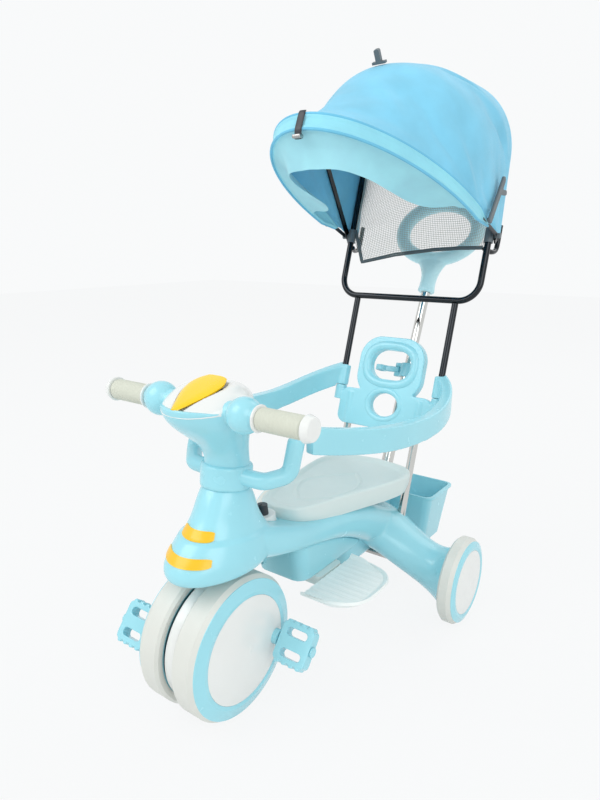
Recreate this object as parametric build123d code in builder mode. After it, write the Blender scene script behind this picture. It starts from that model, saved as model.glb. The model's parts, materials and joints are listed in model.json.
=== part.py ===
# Children's tricycle with guard rails, a push pole and a folding canopy
import os
from math import asin, atan2, cos, degrees, hypot, radians, sin

from build123d import *

os.makedirs("parts", exist_ok=True)

# Fits and walls
running_gap = 0.05        # radial gap of a shaft that turns in its hole
seat_gap = 0.3            # gap between faces that pass or rest near each other
wall = 3.5                # blow-moulded body wall

# Where the wheels stand; stations are measured rearward from the front axle
front_axle_y = -336.75
wheelbase = 421.0
front_radius = 110.0
rear_radius = 81.0
front_gap_half = 14.0     # half of the space between the two front tyres
front_tyre_width = 40.0
rear_track_inner = 208.0  # inner face of each rear tyre
rear_tyre_width = 26.0
tyre_depth = 12.0

# Axles, pins and cranks
axle_radius = 8.0
rear_axle_radius = 6.0
crank_radius = 66.0
crank_drop = 11.0         # degrees below level at which the left pedal rests
pedal_pin_radius = 5.0
pedal_width = 58.0
pedal_length = 58.0
pedal_thick = 18.0
pedal_tilt = 52.0

# Steering head
rake = 7.0
column_radius = 11.0
neck_radius = 36.0
bell_top = 240.0          # height of the bell's top face, up the column
collar_height = 31.0
bar_forward = 59.5        # handlebar axis ahead of the column
bar_height = 361.4        # handlebar axis, up the column
bar_radius = 9.0
grip_end = 178.0
grip_start = 106.0
grip_radius = 15.5
ball_offset = 81.0
ball_radius = 21.0

# Seat and body
seat_front = 140.0
seat_length = 362.0
seat_half_width = 97.0
seat_front_z = 249.0
seat_fall = 3.5           # degrees the seat drops towards the back
seat_depth = 36.0
knob_station = 112.0
belly_bottom = 140.0
belly_front = 140.0
belly_rear = 366.0
belly_half_width = 56.0
footrest_station = 222.0
footrest_length = 124.0
footrest_reach = 82.0
footrest_hinge_x = 70.0

# Back, stand and canopy share one leaning plane
recline = 17.9
stand_station = 539.0     # where the leaning plane stands at knuckle_z
knuckle_z = 437.0
post_x = 80.0
post_radius = 8.0
stand_leg_x = 112.0
stand_tube = 6.5
stand_half_width = 156.0
stand_bottom = 152.0      # bottom bar, up the leaning plane from the knuckles
pivot_up = 283.0
arch_up = 600.0
back_thick = 20.0
back_half_width = 105.0
back_handle_half = 74.0
back_bottom = -127.0
back_top = 66.0

# Canopy bows: reach from the pivot and angle above forward level
front_bow_reach = 430.0
front_bow_angle = 22.5
front_bow_half = 172.0
front_bow_shoulder = 100.0  # where each straight leg ends and the elliptical top starts
front_bow_band = 36.0
mid_bow_reach = 332.0
mid_bow_angle = 59.0
mid_bow_half = 167.0
mid_bow_shoulder = 165.0
mid_bow_band = 12.0
bow_thick = 3.0
cover_thick = 1.6
cover_gap = 1.2

# Push pole
pole_tilt = 23.55
pole_station = 498.0
pole_base_z = 150.0
lower_tube_radius = 12.5
upper_tube_radius = 10.0
lower_tube_length = 310.0
upper_tube_start = 185.0
upper_tube_end = 500.0
handle_ring_up = 618.0
handle_half_width = 88.0
handle_half_height = 64.0
handle_tube = 13.0

# Guard rails and basket
rail_height = 40.0
rail_thick = 20.0
basket_front = 528.0
basket_rear = 642.0
basket_half_width = 106.0
basket_top = 176.0
basket_bottom = 66.0


def place(x, station, z):
    return Vector(x, front_axle_y + station, z)


def level(z):
    return Plane.XY.offset(z)


def slice_at(station):
    return Plane.XZ.offset(-(front_axle_y + station))


def spin_plane(station, z):
    origin = place(0, station, z)
    return Plane(origin=origin, x_dir=(1, 0, 0), z_dir=(0, -1, 0))


def spin_axis(station, z):
    return Axis(place(0, station, z), (1, 0, 0))


def save(piece, name):
    piece.part.label = name
    export_step(piece.part, f"parts/{name}.step")


sides = {"left": 1, "right": -1}

steer_up = Vector(0, sin(radians(rake)), cos(radians(rake)))
steer_plane = Plane(origin=place(0, 0, front_radius), x_dir=(1, 0, 0), z_dir=steer_up)

lean_up = Vector(0, sin(radians(recline)), cos(radians(recline)))
lean_face = Vector(0, -cos(radians(recline)), sin(radians(recline)))
lean_plane = Plane(origin=place(0, stand_station, knuckle_z), x_dir=(1, 0, 0), z_dir=lean_face)

pole_up = Vector(0, sin(radians(pole_tilt)), cos(radians(pole_tilt)))
pole_plane = Plane(origin=place(0, pole_station, pole_base_z), x_dir=(1, 0, 0), z_dir=pole_up)

seat_plane = Plane(
    origin=place(0, seat_front, seat_front_z),
    x_dir=(1, 0, 0),
    z_dir=(0, sin(radians(seat_fall)), cos(radians(seat_fall))),
)


# Point on the leaning plane: across, up, and forward of it
def on_lean(x, up, forward=0.0):
    return lean_plane.origin + Vector(x, 0, 0) + lean_up * up + lean_face * forward


# Plane square to the leaning plane, for things that run up it
def up_lean(x, up):
    return Plane(origin=on_lean(x, up), x_dir=(1, 0, 0), z_dir=lean_up)


# Plane of a canopy bow that stands at an angle above forward level
pivot_point = on_lean(0, pivot_up)


def bow_plane(angle):
    up = Vector(0, -cos(radians(angle)), sin(radians(angle)))
    return Plane(origin=pivot_point, x_dir=(1, 0, 0), z_dir=Vector(1, 0, 0).cross(up))


# Body: bell, spine and rear saddle
spine_stations = [
    # station, half width, underside, top
    (40, 56, 233, 284),
    (112, 64, 214, 262),
    (200, 67, 198, 241),
    (290, 72, 170, 232),
    (360, 80, 134, 214),
    (425, 84, 108, 186),
]
saddle_sections = [
    # across, station, half length, height, half height
    (0, 416, 62, 150, 42),
    (60, 418, 60, 142, 42),
    (112, 420, 52, 116, 42),
    (160, 421, 45, 92, 43),
    (190, 421, 52, 82, 51),
    (205, 421, 62, 81, 61),
]
bell_sections = [
    # height, half width, station of middle, half length
    (232, 56, 13, 88),
    (244, 62, 14, 95),
    (270, 58, 18, 83),
    (305, 46, 24, 58),
]


def bell_loft(inset):
    with BuildPart() as bell:
        for height, half_width, middle, half_length in bell_sections:
            lift = inset if height == bell_sections[0][0] else 0
            with BuildSketch(level(height + lift)):
                with Locations((0, front_axle_y + middle)):
                    Ellipse(half_width - inset, half_length - inset)
        with BuildSketch(steer_plane.offset(bell_top - 3 * inset)):
            Circle(neck_radius - inset)
        loft()
    return bell.part


def spine_loft(inset):
    with BuildPart() as spine:
        for station, half_width, underside, top in spine_stations:
            height = top - underside - 2 * inset
            with BuildSketch(slice_at(station)):
                with Locations((0, (top + underside) / 2)):
                    RectangleRounded(2 * (half_width - inset), height, 0.42 * height)
        loft()
    return spine.part


def saddle_loft(inset):
    mirrored = [(-s[0], *s[1:]) for s in reversed(saddle_sections[1:])]
    with BuildPart() as saddle:
        for across, station, half_length, height, half_height in mirrored + saddle_sections:
            shrink = inset if abs(across) == saddle_sections[-1][0] else 0
            where = across - shrink * (1 if across > 0 else -1)
            with BuildSketch(Plane.YZ.offset(where)):
                with Locations((front_axle_y + station, height)):
                    Ellipse(half_length - inset, half_height - inset)
        loft()
    return saddle.part


body_outer = bell_loft(0) + spine_loft(0) + saddle_loft(0)
body_cavity = bell_loft(wall) + spine_loft(wall) + saddle_loft(wall)

socket_wall = 4.0
post_depth = 44.0
post_foot_up = (174.0 - knuckle_z) / cos(radians(recline)) - post_depth
pole_socket_half = lower_tube_radius + socket_wall
pole_socket_top = 178.0
knob_shaft_radius = 3.0

with BuildPart() as socket_blocks:
    for side in sides.values():
        with BuildSketch(up_lean(side * post_x, post_foot_up - socket_wall)):
            Circle(post_radius + socket_wall)
        extrude(amount=post_depth + 40)
    with BuildSketch(Plane.YZ.offset(-rear_track_inner)):
        with Locations((front_axle_y + wheelbase, rear_radius)):
            Circle(rear_axle_radius + socket_wall)
    extrude(amount=2 * rear_track_inner)
    with BuildSketch(steer_plane.offset(bell_top - 40)):
        Circle(column_radius + 9)
    extrude(amount=40)
    add(body_outer, mode=Mode.INTERSECT)

with BuildPart() as body_shell:
    add(body_outer)
    add(body_cavity, mode=Mode.SUBTRACT)
    add(socket_blocks.part)
    # Socket for the push pole behind the saddle
    with BuildSketch(Plane.YZ.offset(-pole_socket_half)):
        with BuildLine():
            Polyline(
                (front_axle_y + 440, 112),
                (front_axle_y + basket_front, 112),
                (front_axle_y + basket_front, 150),
                (front_axle_y + basket_front, pole_socket_top),
                (front_axle_y + 484, pole_socket_top),
                (front_axle_y + 440, 165),
                close=True,
            )
        make_face()
    extrude(amount=2 * pole_socket_half)
    with BuildSketch(pole_plane):
        Circle(lower_tube_radius + seat_gap / 6)
    extrude(amount=80, mode=Mode.SUBTRACT)
    # Bores for posts, axle, column and knob
    for side in sides.values():
        with BuildSketch(up_lean(side * post_x, post_foot_up)):
            Circle(post_radius + running_gap)
        extrude(amount=post_depth + 60, mode=Mode.SUBTRACT)
    with BuildSketch(Plane.YZ.offset(-rear_track_inner)):
        with Locations((front_axle_y + wheelbase, rear_radius)):
            Circle(rear_axle_radius + running_gap)
    extrude(amount=2 * rear_track_inner, mode=Mode.SUBTRACT)
    with BuildSketch(steer_plane.offset(100)):
        Circle(column_radius + 4)
    extrude(amount=bell_top, mode=Mode.SUBTRACT)
    with BuildSketch(level(200)):
        with Locations((0, front_axle_y + knob_station)):
            Circle(knob_shaft_radius + seat_gap)
    extrude(amount=100, mode=Mode.SUBTRACT)
save(body_shell, "body_shell")


# Belly tub under the spine, and the footrest carrier below it
with BuildPart() as belly_tub:
    belly_middle = front_axle_y + (belly_front + belly_rear) / 2
    with BuildSketch(level(belly_bottom)):
        with Locations((0, belly_middle)):
            RectangleRounded(2 * belly_half_width - 12, belly_rear - belly_front - 24, 22)
    with BuildSketch(level(belly_bottom + 90)):
        with Locations((0, belly_middle)):
            RectangleRounded(2 * belly_half_width, belly_rear - belly_front, 26)
    loft()
    add(body_outer, mode=Mode.SUBTRACT)
    belly_solid = belly_tub.solids().sort_by(Axis.Z)[0]
    add(belly_solid, mode=Mode.REPLACE)
save(belly_tub, "belly_tub")

carrier_height = 16.0
hinge_pin_radius = 3.0
barrel_radius = 7.0
hinge_z = belly_bottom - barrel_radius - 1
barrel_length = 26.0

with BuildPart() as footrest_carrier:
    with BuildSketch(level(belly_bottom - carrier_height)):
        with Locations((0, front_axle_y + footrest_station)):
            RectangleRounded(2 * (footrest_hinge_x - barrel_radius - 1), 70, 8)
    extrude(amount=carrier_height)
    for side in sides.values():
        with BuildSketch(slice_at(footrest_station - barrel_length / 2)):
            with Locations((side * footrest_hinge_x, hinge_z)):
                Circle(barrel_radius)
            with Locations((side * (footrest_hinge_x - barrel_radius), hinge_z)):
                Rectangle(2 * barrel_radius, barrel_radius)
        extrude(amount=-barrel_length)
        with BuildSketch(slice_at(footrest_station - 60)):
            with Locations((side * footrest_hinge_x, hinge_z)):
                Circle(hinge_pin_radius + running_gap)
        extrude(amount=-120, mode=Mode.SUBTRACT)
save(footrest_carrier, "footrest_carrier")

with BuildPart() as footrest_pins:
    for side in sides.values():
        with BuildSketch(slice_at(footrest_station - 1.6 * barrel_length)):
            with Locations((side * footrest_hinge_x, hinge_z)):
                Circle(hinge_pin_radius)
        extrude(amount=-3.2 * barrel_length)
save(footrest_pins, "footrest_pins")

# Ribbed footrests that fold up against the belly
footrest_thick = 9.0
rib_count = 7


def make_footrest(side):
    start = footrest_hinge_x + barrel_radius + 1.5
    top = hinge_z - 1.0
    with BuildPart() as footrest:
        with BuildSketch(level(top - footrest_thick)):
            with BuildLine():
                near = front_axle_y + footrest_station - footrest_length / 2
                far = near + footrest_length
                Line((side * start, near), (side * start, far))
                Line((side * start, far), (side * (start + 26), far))
                ThreePointArc(
                    (side * (start + 26), far),
                    (side * (start + footrest_reach), (near + far) / 2),
                    (side * (start + 26), near),
                )
                Line((side * (start + 26), near), (side * start, near))
            make_face()
        extrude(amount=footrest_thick)
        # Ribs across the tread
        with BuildSketch(level(top)):
            with Locations((side * (start + 30), front_axle_y + footrest_station)):
                with GridLocations(0, 11.0, 1, rib_count):
                    SlotOverall(56, 4.0)
        extrude(amount=1.6)
        # Hinge knuckles on either side of the carrier's barrel
        for end in (-1, 1):
            middle = footrest_station + end * (barrel_length + seat_gap)
            with BuildSketch(slice_at(middle - barrel_length / 2)):
                with Locations((side * footrest_hinge_x, hinge_z)):
                    Circle(barrel_radius)
                with Locations((side * (footrest_hinge_x + barrel_radius), hinge_z - 4)):
                    Rectangle(2 * barrel_radius, 6)
            extrude(amount=-barrel_length)
        with BuildSketch(slice_at(footrest_station - 60)):
            with Locations((side * footrest_hinge_x, hinge_z)):
                Circle(hinge_pin_radius + running_gap)
        extrude(amount=-120, mode=Mode.SUBTRACT)
    return footrest


for name, side in sides.items():
    save(make_footrest(side), f"footrest_{name}")

# Seat: a teardrop pan with a raised rim and a dished top
seat_rim = 9.0
dish_depth = 8.0
pan_layers = [(6, 0), (0, 0.45 * seat_depth), (4, seat_depth)]
dish_layers = [(seat_rim + 6, seat_depth - dish_depth), (seat_rim, seat_depth + 0.5)]

with BuildPart() as seat:
    for layers, mode in ((pan_layers, Mode.ADD), (dish_layers, Mode.SUBTRACT)):
        for inset, lift in layers:
            length = seat_length - 2 * inset
            half = seat_half_width - inset
            with BuildSketch(seat_plane.offset(lift)):
                with BuildLine():
                    Spline(
                        (0, inset),
                        (0.36 * half, inset + 0.07 * length),
                        (0.74 * half, inset + 0.38 * length),
                        (half, inset + 0.68 * length),
                        (0.6 * half, inset + 0.93 * length),
                        (0, inset + length),
                        tangents=((1, 0), (-1, 0)),
                    )
                    mirror(about=Plane.YZ)
                make_face()
        loft(mode=mode)
    add(body_outer, mode=Mode.SUBTRACT)
save(seat, "seat")

# Volume knob on its plate ahead of the seat
knob_z = 264.0
plate_thick = 6.0
knob_height = 16.0

with BuildPart() as knob_plate:
    with BuildSketch(level(knob_z - 10)):
        with Locations((0, front_axle_y + knob_station)):
            Ellipse(21, 26)
    extrude(amount=10 + plate_thick, taper=8)
    with BuildSketch(level(knob_z - 20)):
        with Locations((0, front_axle_y + knob_station)):
            Circle(knob_shaft_radius + running_gap)
    extrude(amount=60, mode=Mode.SUBTRACT)
    add(body_outer, mode=Mode.SUBTRACT)
    plate_solid = knob_plate.solids().sort_by(Axis.Z)[-1]
    add(plate_solid, mode=Mode.REPLACE)
save(knob_plate, "knob_plate")

with BuildPart() as volume_knob:
    with BuildSketch(level(knob_z + plate_thick + seat_gap)):
        with Locations((0, front_axle_y + knob_station)):
            Circle(10)
    extrude(amount=knob_height, taper=6)
    with BuildSketch(level(knob_z + plate_thick + seat_gap + knob_height - 2)):
        with Locations((0, front_axle_y + knob_station - 5)):
            Rectangle(2, 6)
    extrude(amount=3)
    with BuildSketch(level(knob_z - 24)):
        with Locations((0, front_axle_y + knob_station)):
            Circle(knob_shaft_radius)
    extrude(amount=24 + plate_thick + 2)
save(volume_knob, "volume_knob")

with BuildPart() as knob_potentiometer:
    with BuildSketch(level(knob_z - 40)):
        with Locations((0, front_axle_y + knob_station)):
            RectangleRounded(22, 20, 3)
    extrude(amount=40 - 24 - seat_gap)
save(knob_potentiometer, "knob_potentiometer")

# Wheels: each half is a rim, a tyre and a domed side disc
rim_wall = 3.0
press_gap = 0.02


def wheel_half(side, station, radius, inner, width, bore, disc_radius, dome):
    middle = spin_plane(station, radius)
    axis = spin_axis(station, radius)
    outer = inner + width
    drum = radius - tyre_depth
    ring_edge = radius - 5
    with BuildPart() as tyre:
        with BuildSketch(middle):
            with BuildLine():
                Polyline(
                    (side * inner, drum),
                    (side * inner, radius - 4),
                    (side * (inner + 4), radius),
                    (side * (outer - 7), radius),
                    (side * outer, radius - 5),
                    (side * outer, drum),
                    close=True,
                )
            make_face()
        revolve(axis=axis)
    with BuildPart() as rim:
        with BuildSketch(middle):
            with BuildLine():
                Polyline(
                    (side * (inner + 1), bore),
                    (side * (outer - 4), bore),
                    (side * (outer - 4), disc_radius),
                    (side * (outer + dome / 2), disc_radius),
                    (side * (outer + dome / 2 + 1), disc_radius + 6),
                    (side * (outer + 1), ring_edge),
                    (side * outer, ring_edge),
                    (side * outer, drum),
                    (side * (inner + 1), drum),
                    (side * (inner + 1), drum - rim_wall),
                    (side * (outer - 8), drum - rim_wall),
                    (side * (outer - 8), bore + 9),
                    (side * (inner + 1), bore + 9),
                    close=True,
                )
            make_face()
        revolve(axis=axis)
    with BuildPart() as disc:
        with BuildSketch(middle):
            with BuildLine():
                rim_point = (side * (outer + dome / 2), disc_radius - seat_gap)
                crown = (side * (outer + dome), 0)
                ball = dome / 4 + rim_point[1] ** 2 / dome
                half_turn = asin(rim_point[1] / ball) / 2
                swell = (side * (outer + dome - ball + ball * cos(half_turn)), ball * sin(half_turn))
                Polyline(crown, (side * (outer + 1), 0), (side * (outer + 1), rim_point[1]), rim_point)
                ThreePointArc(rim_point, swell, crown)
            make_face()
        revolve(axis=axis)
    return tyre, rim, disc


front_disc_radius = 82.0
front_dome = 11.0
front_outer = front_gap_half + front_tyre_width
crank_angle = {1: -radians(crank_drop), -1: -radians(crank_drop) + radians(180)}
boss_radius = 12.0
boss_end = front_outer + front_dome + 6


def crank_point(side):
    station = crank_radius * cos(crank_angle[side])
    height = front_radius + crank_radius * sin(crank_angle[side])
    return station, height


front_halves = {}
for name, side in sides.items():
    front_halves[name] = wheel_half(
        side, 0, front_radius, front_gap_half, front_tyre_width,
        axle_radius + press_gap, front_disc_radius, front_dome,
    )

with BuildPart() as front_tyres:
    for halves in front_halves.values():
        add(halves[0].part)
save(front_tyres, "front_tyres")

with BuildPart() as front_rims:
    for halves in front_halves.values():
        add(halves[1].part)
save(front_rims, "front_rims")

with BuildPart() as front_discs:
    for halves in front_halves.values():
        add(halves[2].part)
    for side in sides.values():
        station, height = crank_point(side)
        with BuildSketch(Plane.YZ.offset(side * (front_outer - 4))):
            with Locations((front_axle_y + station, height)):
                Circle(boss_radius + press_gap)
        extrude(amount=side * 40, mode=Mode.SUBTRACT)
save(front_discs, "front_discs")

with BuildPart() as crank_axle:
    with BuildSketch(Plane.YZ.offset(-front_outer + 2)):
        with Locations((front_axle_y, front_radius)):
            Circle(axle_radius)
    extrude(amount=2 * front_outer - 4)
save(crank_axle, "crank_axle")

pedal_start = boss_end + 1.5
pedal_middle = pedal_start + pedal_width / 2
pin_end = pedal_start + pedal_width + 1.0

with BuildPart() as pedal_pins:
    for side in sides.values():
        station, height = crank_point(side)
        with BuildSketch(Plane.YZ.offset(side * (front_outer - 4))):
            with Locations((front_axle_y + station, height)):
                Circle(boss_radius)
        extrude(amount=side * (boss_end - front_outer + 4))
        with BuildSketch(Plane.YZ.offset(side * boss_end)):
            with Locations((front_axle_y + station, height)):
                Circle(pedal_pin_radius)
        extrude(amount=side * (pin_end - boss_end))
        with BuildSketch(Plane.YZ.offset(side * pin_end)):
            with Locations((front_axle_y + station, height)):
                Circle(pedal_pin_radius + 2.5)
        extrude(amount=side * 2.5)
save(pedal_pins, "pedal_pins")

# Pedals: toothed plates with two slots, free on their pins
for name, side in sides.items():
    station, height = crank_point(side)
    turn = radians(pedal_tilt)
    pedal_plane = Plane(
        origin=place(side * pedal_middle, station, height),
        x_dir=(1, 0, 0),
        z_dir=(0, -sin(turn), cos(turn)),
    )
    with BuildPart() as pedal:
        with BuildSketch(pedal_plane.offset(-pedal_thick / 2)):
            RectangleRounded(pedal_width, pedal_length, 7)
            for end in (-1, 1):
                with Locations((0, end * pedal_length / 2)):
                    with GridLocations(13, 0, 4, 1):
                        Circle(4)
            for end in (-1, 1):
                with Locations((0, end * pedal_length * 0.27)):
                    SlotOverall(pedal_width - 20, 12, mode=Mode.SUBTRACT)
        extrude(amount=pedal_thick)
        with BuildSketch(Plane.YZ.offset(side * pedal_start)):
            with Locations((front_axle_y + station, height)):
                Circle(pedal_pin_radius + running_gap)
        extrude(amount=side * pedal_width, mode=Mode.SUBTRACT)
    save(pedal, f"pedal_{name}")

# Rear wheels on a fixed axle
rear_disc_radius = 60.0
rear_dome = 7.0
rear_outer = rear_track_inner + rear_tyre_width

for name, side in sides.items():
    tyre, rim, disc = wheel_half(
        side, wheelbase, rear_radius, rear_track_inner, rear_tyre_width,
        rear_axle_radius + running_gap, rear_disc_radius, rear_dome,
    )
    save(tyre, f"rear_tyre_{name}")
    save(rim, f"rear_rim_{name}")
    save(disc, f"rear_disc_{name}")

with BuildPart() as rear_axle:
    with BuildSketch(Plane.YZ.offset(-rear_outer + 1)):
        with Locations((front_axle_y + wheelbase, rear_radius)):
            Circle(rear_axle_radius)
    extrude(amount=2 * rear_outer - 2)
save(rear_axle, "rear_axle")

with BuildPart() as rear_axle_caps:
    for side in sides.values():
        with BuildSketch(Plane.YZ.offset(side * (rear_outer - 4 + seat_gap))):
            with Locations((front_axle_y + wheelbase, rear_radius)):
                Circle(rear_axle_radius + 6)
                Circle(rear_axle_radius + press_gap, mode=Mode.SUBTRACT)
        extrude(amount=side * 2.5)
save(rear_axle_caps, "rear_axle_caps")

# Fork between the two front tyres, and the column it carries
fork_half = 9.0
fork_drum = 98.0
fork_rings = (46, 58, 70)  # grooves round the drum's faces
crown_low = front_radius + 1.0
crown_top = crown_low + 8.0
column_low = crown_low + 2.0
column_top = 345.0

with BuildPart() as fork:
    with BuildSketch(Plane.YZ.offset(-fork_half)):
        with Locations((front_axle_y, front_radius)):
            Circle(fork_drum)
    extrude(amount=2 * fork_half)
    for side in sides.values():
        with BuildSketch(Plane.YZ.offset(side * fork_half)):
            with Locations((front_axle_y, front_radius)):
                for ring in fork_rings:
                    Circle(ring + 3)
                    Circle(ring, mode=Mode.SUBTRACT)
        extrude(amount=-side * 2, mode=Mode.SUBTRACT)
    with BuildSketch(steer_plane.offset(fork_drum - 10)):
        Rectangle(2 * fork_half - 1, 60)
    extrude(amount=crown_low - fork_drum + 10)
    with BuildSketch(steer_plane.offset(crown_low)):
        Circle(column_radius + 9)
    extrude(amount=crown_top - crown_low)
    with BuildSketch(steer_plane.offset(column_low)):
        Circle(column_radius + press_gap)
    extrude(amount=crown_top, mode=Mode.SUBTRACT)
    with BuildSketch(Plane.YZ.offset(-fork_half)):
        with Locations((front_axle_y, front_radius)):
            Circle(axle_radius + running_gap)
    extrude(amount=2 * fork_half, mode=Mode.SUBTRACT)
save(fork, "fork")

with BuildPart() as steering_column:
    with BuildSketch(steer_plane.offset(column_low)):
        Circle(column_radius)
        Circle(column_radius - 2, mode=Mode.SUBTRACT)
    extrude(amount=column_top - column_low)
save(steering_column, "steering_column")

nose_floor = 122.5
with BuildPart() as steering_bushes:
    for start, length in ((nose_floor, 12), (bell_top - 14, 14)):
        with BuildSketch(steer_plane.offset(start)):
            Circle(column_radius + 4 - press_gap)
            Circle(column_radius + running_gap, mode=Mode.SUBTRACT)
        extrude(amount=length)
save(steering_bushes, "steering_bushes")

# Yoke: a collar on the bell with two arms that hold the guard rails
arm_radius = 10.0
arm_x = 95.0
arm_station = 76.0
arm_top_z = 421.0

with BuildPart() as guard_yoke:
    with BuildSketch(steer_plane.offset(bell_top)):
        Circle(neck_radius)
    extrude(amount=collar_height)
    for side in sides.values():
        route = [
            place(side * 20, 30, 366),
            place(side * 70, 34, 366),
            place(side * arm_x, 60, 374),
            place(side * arm_x, arm_station, arm_top_z),
        ]
        with BuildLine() as arm_path:
            FilletPolyline(*route, radius=20)
        with BuildSketch(Plane(origin=route[0], z_dir=(side, 0.08, 0))):
            Circle(arm_radius)
        sweep(path=arm_path.wires()[0])
    with BuildSketch(steer_plane.offset(bell_top)):
        Circle(column_radius + 4)
    extrude(amount=collar_height, mode=Mode.SUBTRACT)
save(guard_yoke, "guard_yoke")

# Handlebar pod in two shells on the column
neck_start = bell_top + collar_height + 0.6
pod_middle = -46.0
pod_lower_sections = [
    # height up the column, middle ahead of it, half width, half length
    (neck_start, 0, 34, 34),
    (neck_start + 26, -8, 35, 37),
    (neck_start + 58, -34, 50, 58),
    (bar_height, pod_middle, 62, 68),
]
pod_upper_sections = [
    (bar_height + seat_gap, pod_middle, 62, 68),
    (bar_height + 20, pod_middle, 57, 63),
    (bar_height + 33, pod_middle, 38, 44),
]
button_half = (24.0, 30.0)
button_low = bar_height + 26

bar_centre = steer_plane.from_local_coords((0, -bar_forward, bar_height))
bar_plane = Plane(origin=bar_centre, x_dir=(1, 0, 0), z_dir=(0, -1, 0))
ball_neck = ball_radius - 5
ball_waist = (ball_radius**2 - ball_neck**2) ** 0.5
ball_end = ball_offset + ball_radius
ball_root = 50.0

# A turned ball on each side of the pod
with BuildPart() as handlebar_balls:
    for side in sides.values():
        with BuildSketch(bar_plane):
            with BuildLine():
                near = (side * (ball_offset - ball_waist), ball_neck)
                far = (side * (ball_offset + ball_waist), ball_neck)
                ThreePointArc(near, (side * ball_offset, ball_radius), far)
                Polyline(far, (side * ball_end, ball_neck), (side * ball_end, bar_radius + press_gap))
                Polyline(
                    (side * ball_end, bar_radius + press_gap),
                    (side * ball_root, bar_radius + press_gap),
                    (side * ball_root, ball_neck),
                    near,
                )
            make_face()
        revolve(axis=Axis(bar_centre, (1, 0, 0)))


def pod_loft(sections, inset):
    with BuildPart() as pod:
        for height, middle, half_width, half_length in sections:
            with BuildSketch(steer_plane.offset(height)):
                with Locations((0, middle)):
                    Ellipse(half_width - inset, half_length - inset)
        loft()
    return pod.part


pod_cavity_sections = pod_lower_sections[2:]

with BuildPart() as bar_bore:
    with BuildSketch(Plane.YZ.offset(-grip_start)):
        with Locations((bar_centre.Y, bar_centre.Z)):
            Circle(bar_radius + press_gap)
    extrude(amount=2 * grip_start)

with BuildPart() as pod_lower:
    add(pod_loft(pod_lower_sections, 0))
    add(pod_loft(pod_cavity_sections, 8), mode=Mode.SUBTRACT)
    with BuildSketch(steer_plane.offset(neck_start)):
        Circle(column_radius + 7)
    extrude(amount=column_top - neck_start)
    add(bar_bore.part, mode=Mode.SUBTRACT)
    add(handlebar_balls.part)
    with BuildSketch(steer_plane.offset(neck_start - 1)):
        Circle(column_radius + press_gap)
    extrude(amount=column_top - neck_start + 1.2, mode=Mode.SUBTRACT)
save(pod_lower, "pod_lower")

with BuildPart() as pod_upper:
    add(pod_loft(pod_upper_sections, 0))
    with BuildSketch(steer_plane.offset(bar_height)):
        with Locations((0, pod_middle)):
            Ellipse(52, 58)
    extrude(amount=20, mode=Mode.SUBTRACT, taper=12)
    with BuildSketch(steer_plane.offset(bar_height + 10)):
        with Locations((0, pod_middle)):
            Ellipse(button_half[0] + seat_gap, button_half[1] + seat_gap)
    extrude(amount=40, mode=Mode.SUBTRACT)
    add(handlebar_balls.part, mode=Mode.SUBTRACT)
    add(bar_bore.part, mode=Mode.SUBTRACT)
    upper_solid = pod_upper.solids().sort_by(SortBy.VOLUME)[-1]
    add(upper_solid, mode=Mode.REPLACE)
save(pod_upper, "pod_upper")

with BuildPart() as horn_button:
    for inset, height in ((0, button_low), (0, bar_height + 34), (7, bar_height + 41)):
        with BuildSketch(steer_plane.offset(height)):
            with Locations((0, pod_middle)):
                Ellipse(button_half[0] - inset, button_half[1] - inset)
    loft(ruled=True)
save(horn_button, "horn_button")

spring_low = bar_height + bar_radius + 1.0
with BuildPart() as horn_spring:
    with BuildSketch(steer_plane.offset(spring_low)):
        with Locations((0, pod_middle)):
            Circle(6)
            Circle(4, mode=Mode.SUBTRACT)
    extrude(amount=button_low - spring_low - seat_gap)
save(horn_spring, "horn_spring")

with BuildPart() as handlebar_tube:
    with BuildSketch(Plane.YZ.offset(-grip_end - 4)):
        with Locations((bar_centre.Y, bar_centre.Z)):
            Circle(bar_radius)
            Circle(bar_radius - 1.5, mode=Mode.SUBTRACT)
    extrude(amount=2 * (grip_end + 4))
save(handlebar_tube, "handlebar_tube")

groove_count = 8
with BuildPart() as grips:
    for side in sides.values():
        with BuildSketch(Plane.YZ.offset(side * grip_start)):
            with Locations((bar_centre.Y, bar_centre.Z)):
                Circle(grip_radius)
                Circle(bar_radius + press_gap, mode=Mode.SUBTRACT)
        extrude(amount=side * (grip_end - grip_start))
        pitch = (grip_end - grip_start) / (groove_count + 1)
        for groove in range(1, groove_count + 1):
            with BuildSketch(Plane.YZ.offset(side * (grip_start + groove * pitch))):
                with Locations((bar_centre.Y, bar_centre.Z)):
                    Circle(grip_radius + 1)
                    Circle(grip_radius - 0.8, mode=Mode.SUBTRACT)
            extrude(amount=side * 1.5, mode=Mode.SUBTRACT)
save(grips, "grips")

cap_radius = 19.0
cap_length = 11.0
with BuildPart() as grip_caps:
    for side in sides.values():
        with BuildSketch(Plane.YZ.offset(side * grip_end)):
            with Locations((bar_centre.Y, bar_centre.Z)):
                Circle(cap_radius)
        extrude(amount=side * cap_length, taper=18)
        with BuildSketch(Plane.YZ.offset(side * grip_end)):
            with Locations((bar_centre.Y, bar_centre.Z)):
                Circle(bar_radius + press_gap)
        extrude(amount=side * 4.2, mode=Mode.SUBTRACT)
        with BuildSketch(Plane.YZ.offset(side * (ball_offset + ball_radius + seat_gap))):
            with Locations((bar_centre.Y, bar_centre.Z)):
                Circle(cap_radius)
                Circle(bar_radius + press_gap, mode=Mode.SUBTRACT)
        extrude(amount=side * (grip_start - ball_offset - ball_radius - seat_gap))
save(grip_caps, "grip_caps")

# Backrest on two chrome posts, with sockets for the stand legs
ear_low = -78.0
ear_top = -47.0
ear_radius = 12.0
post_top = -67.0
leg_foot = -72.0
shoulder_up = -50.0

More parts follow.
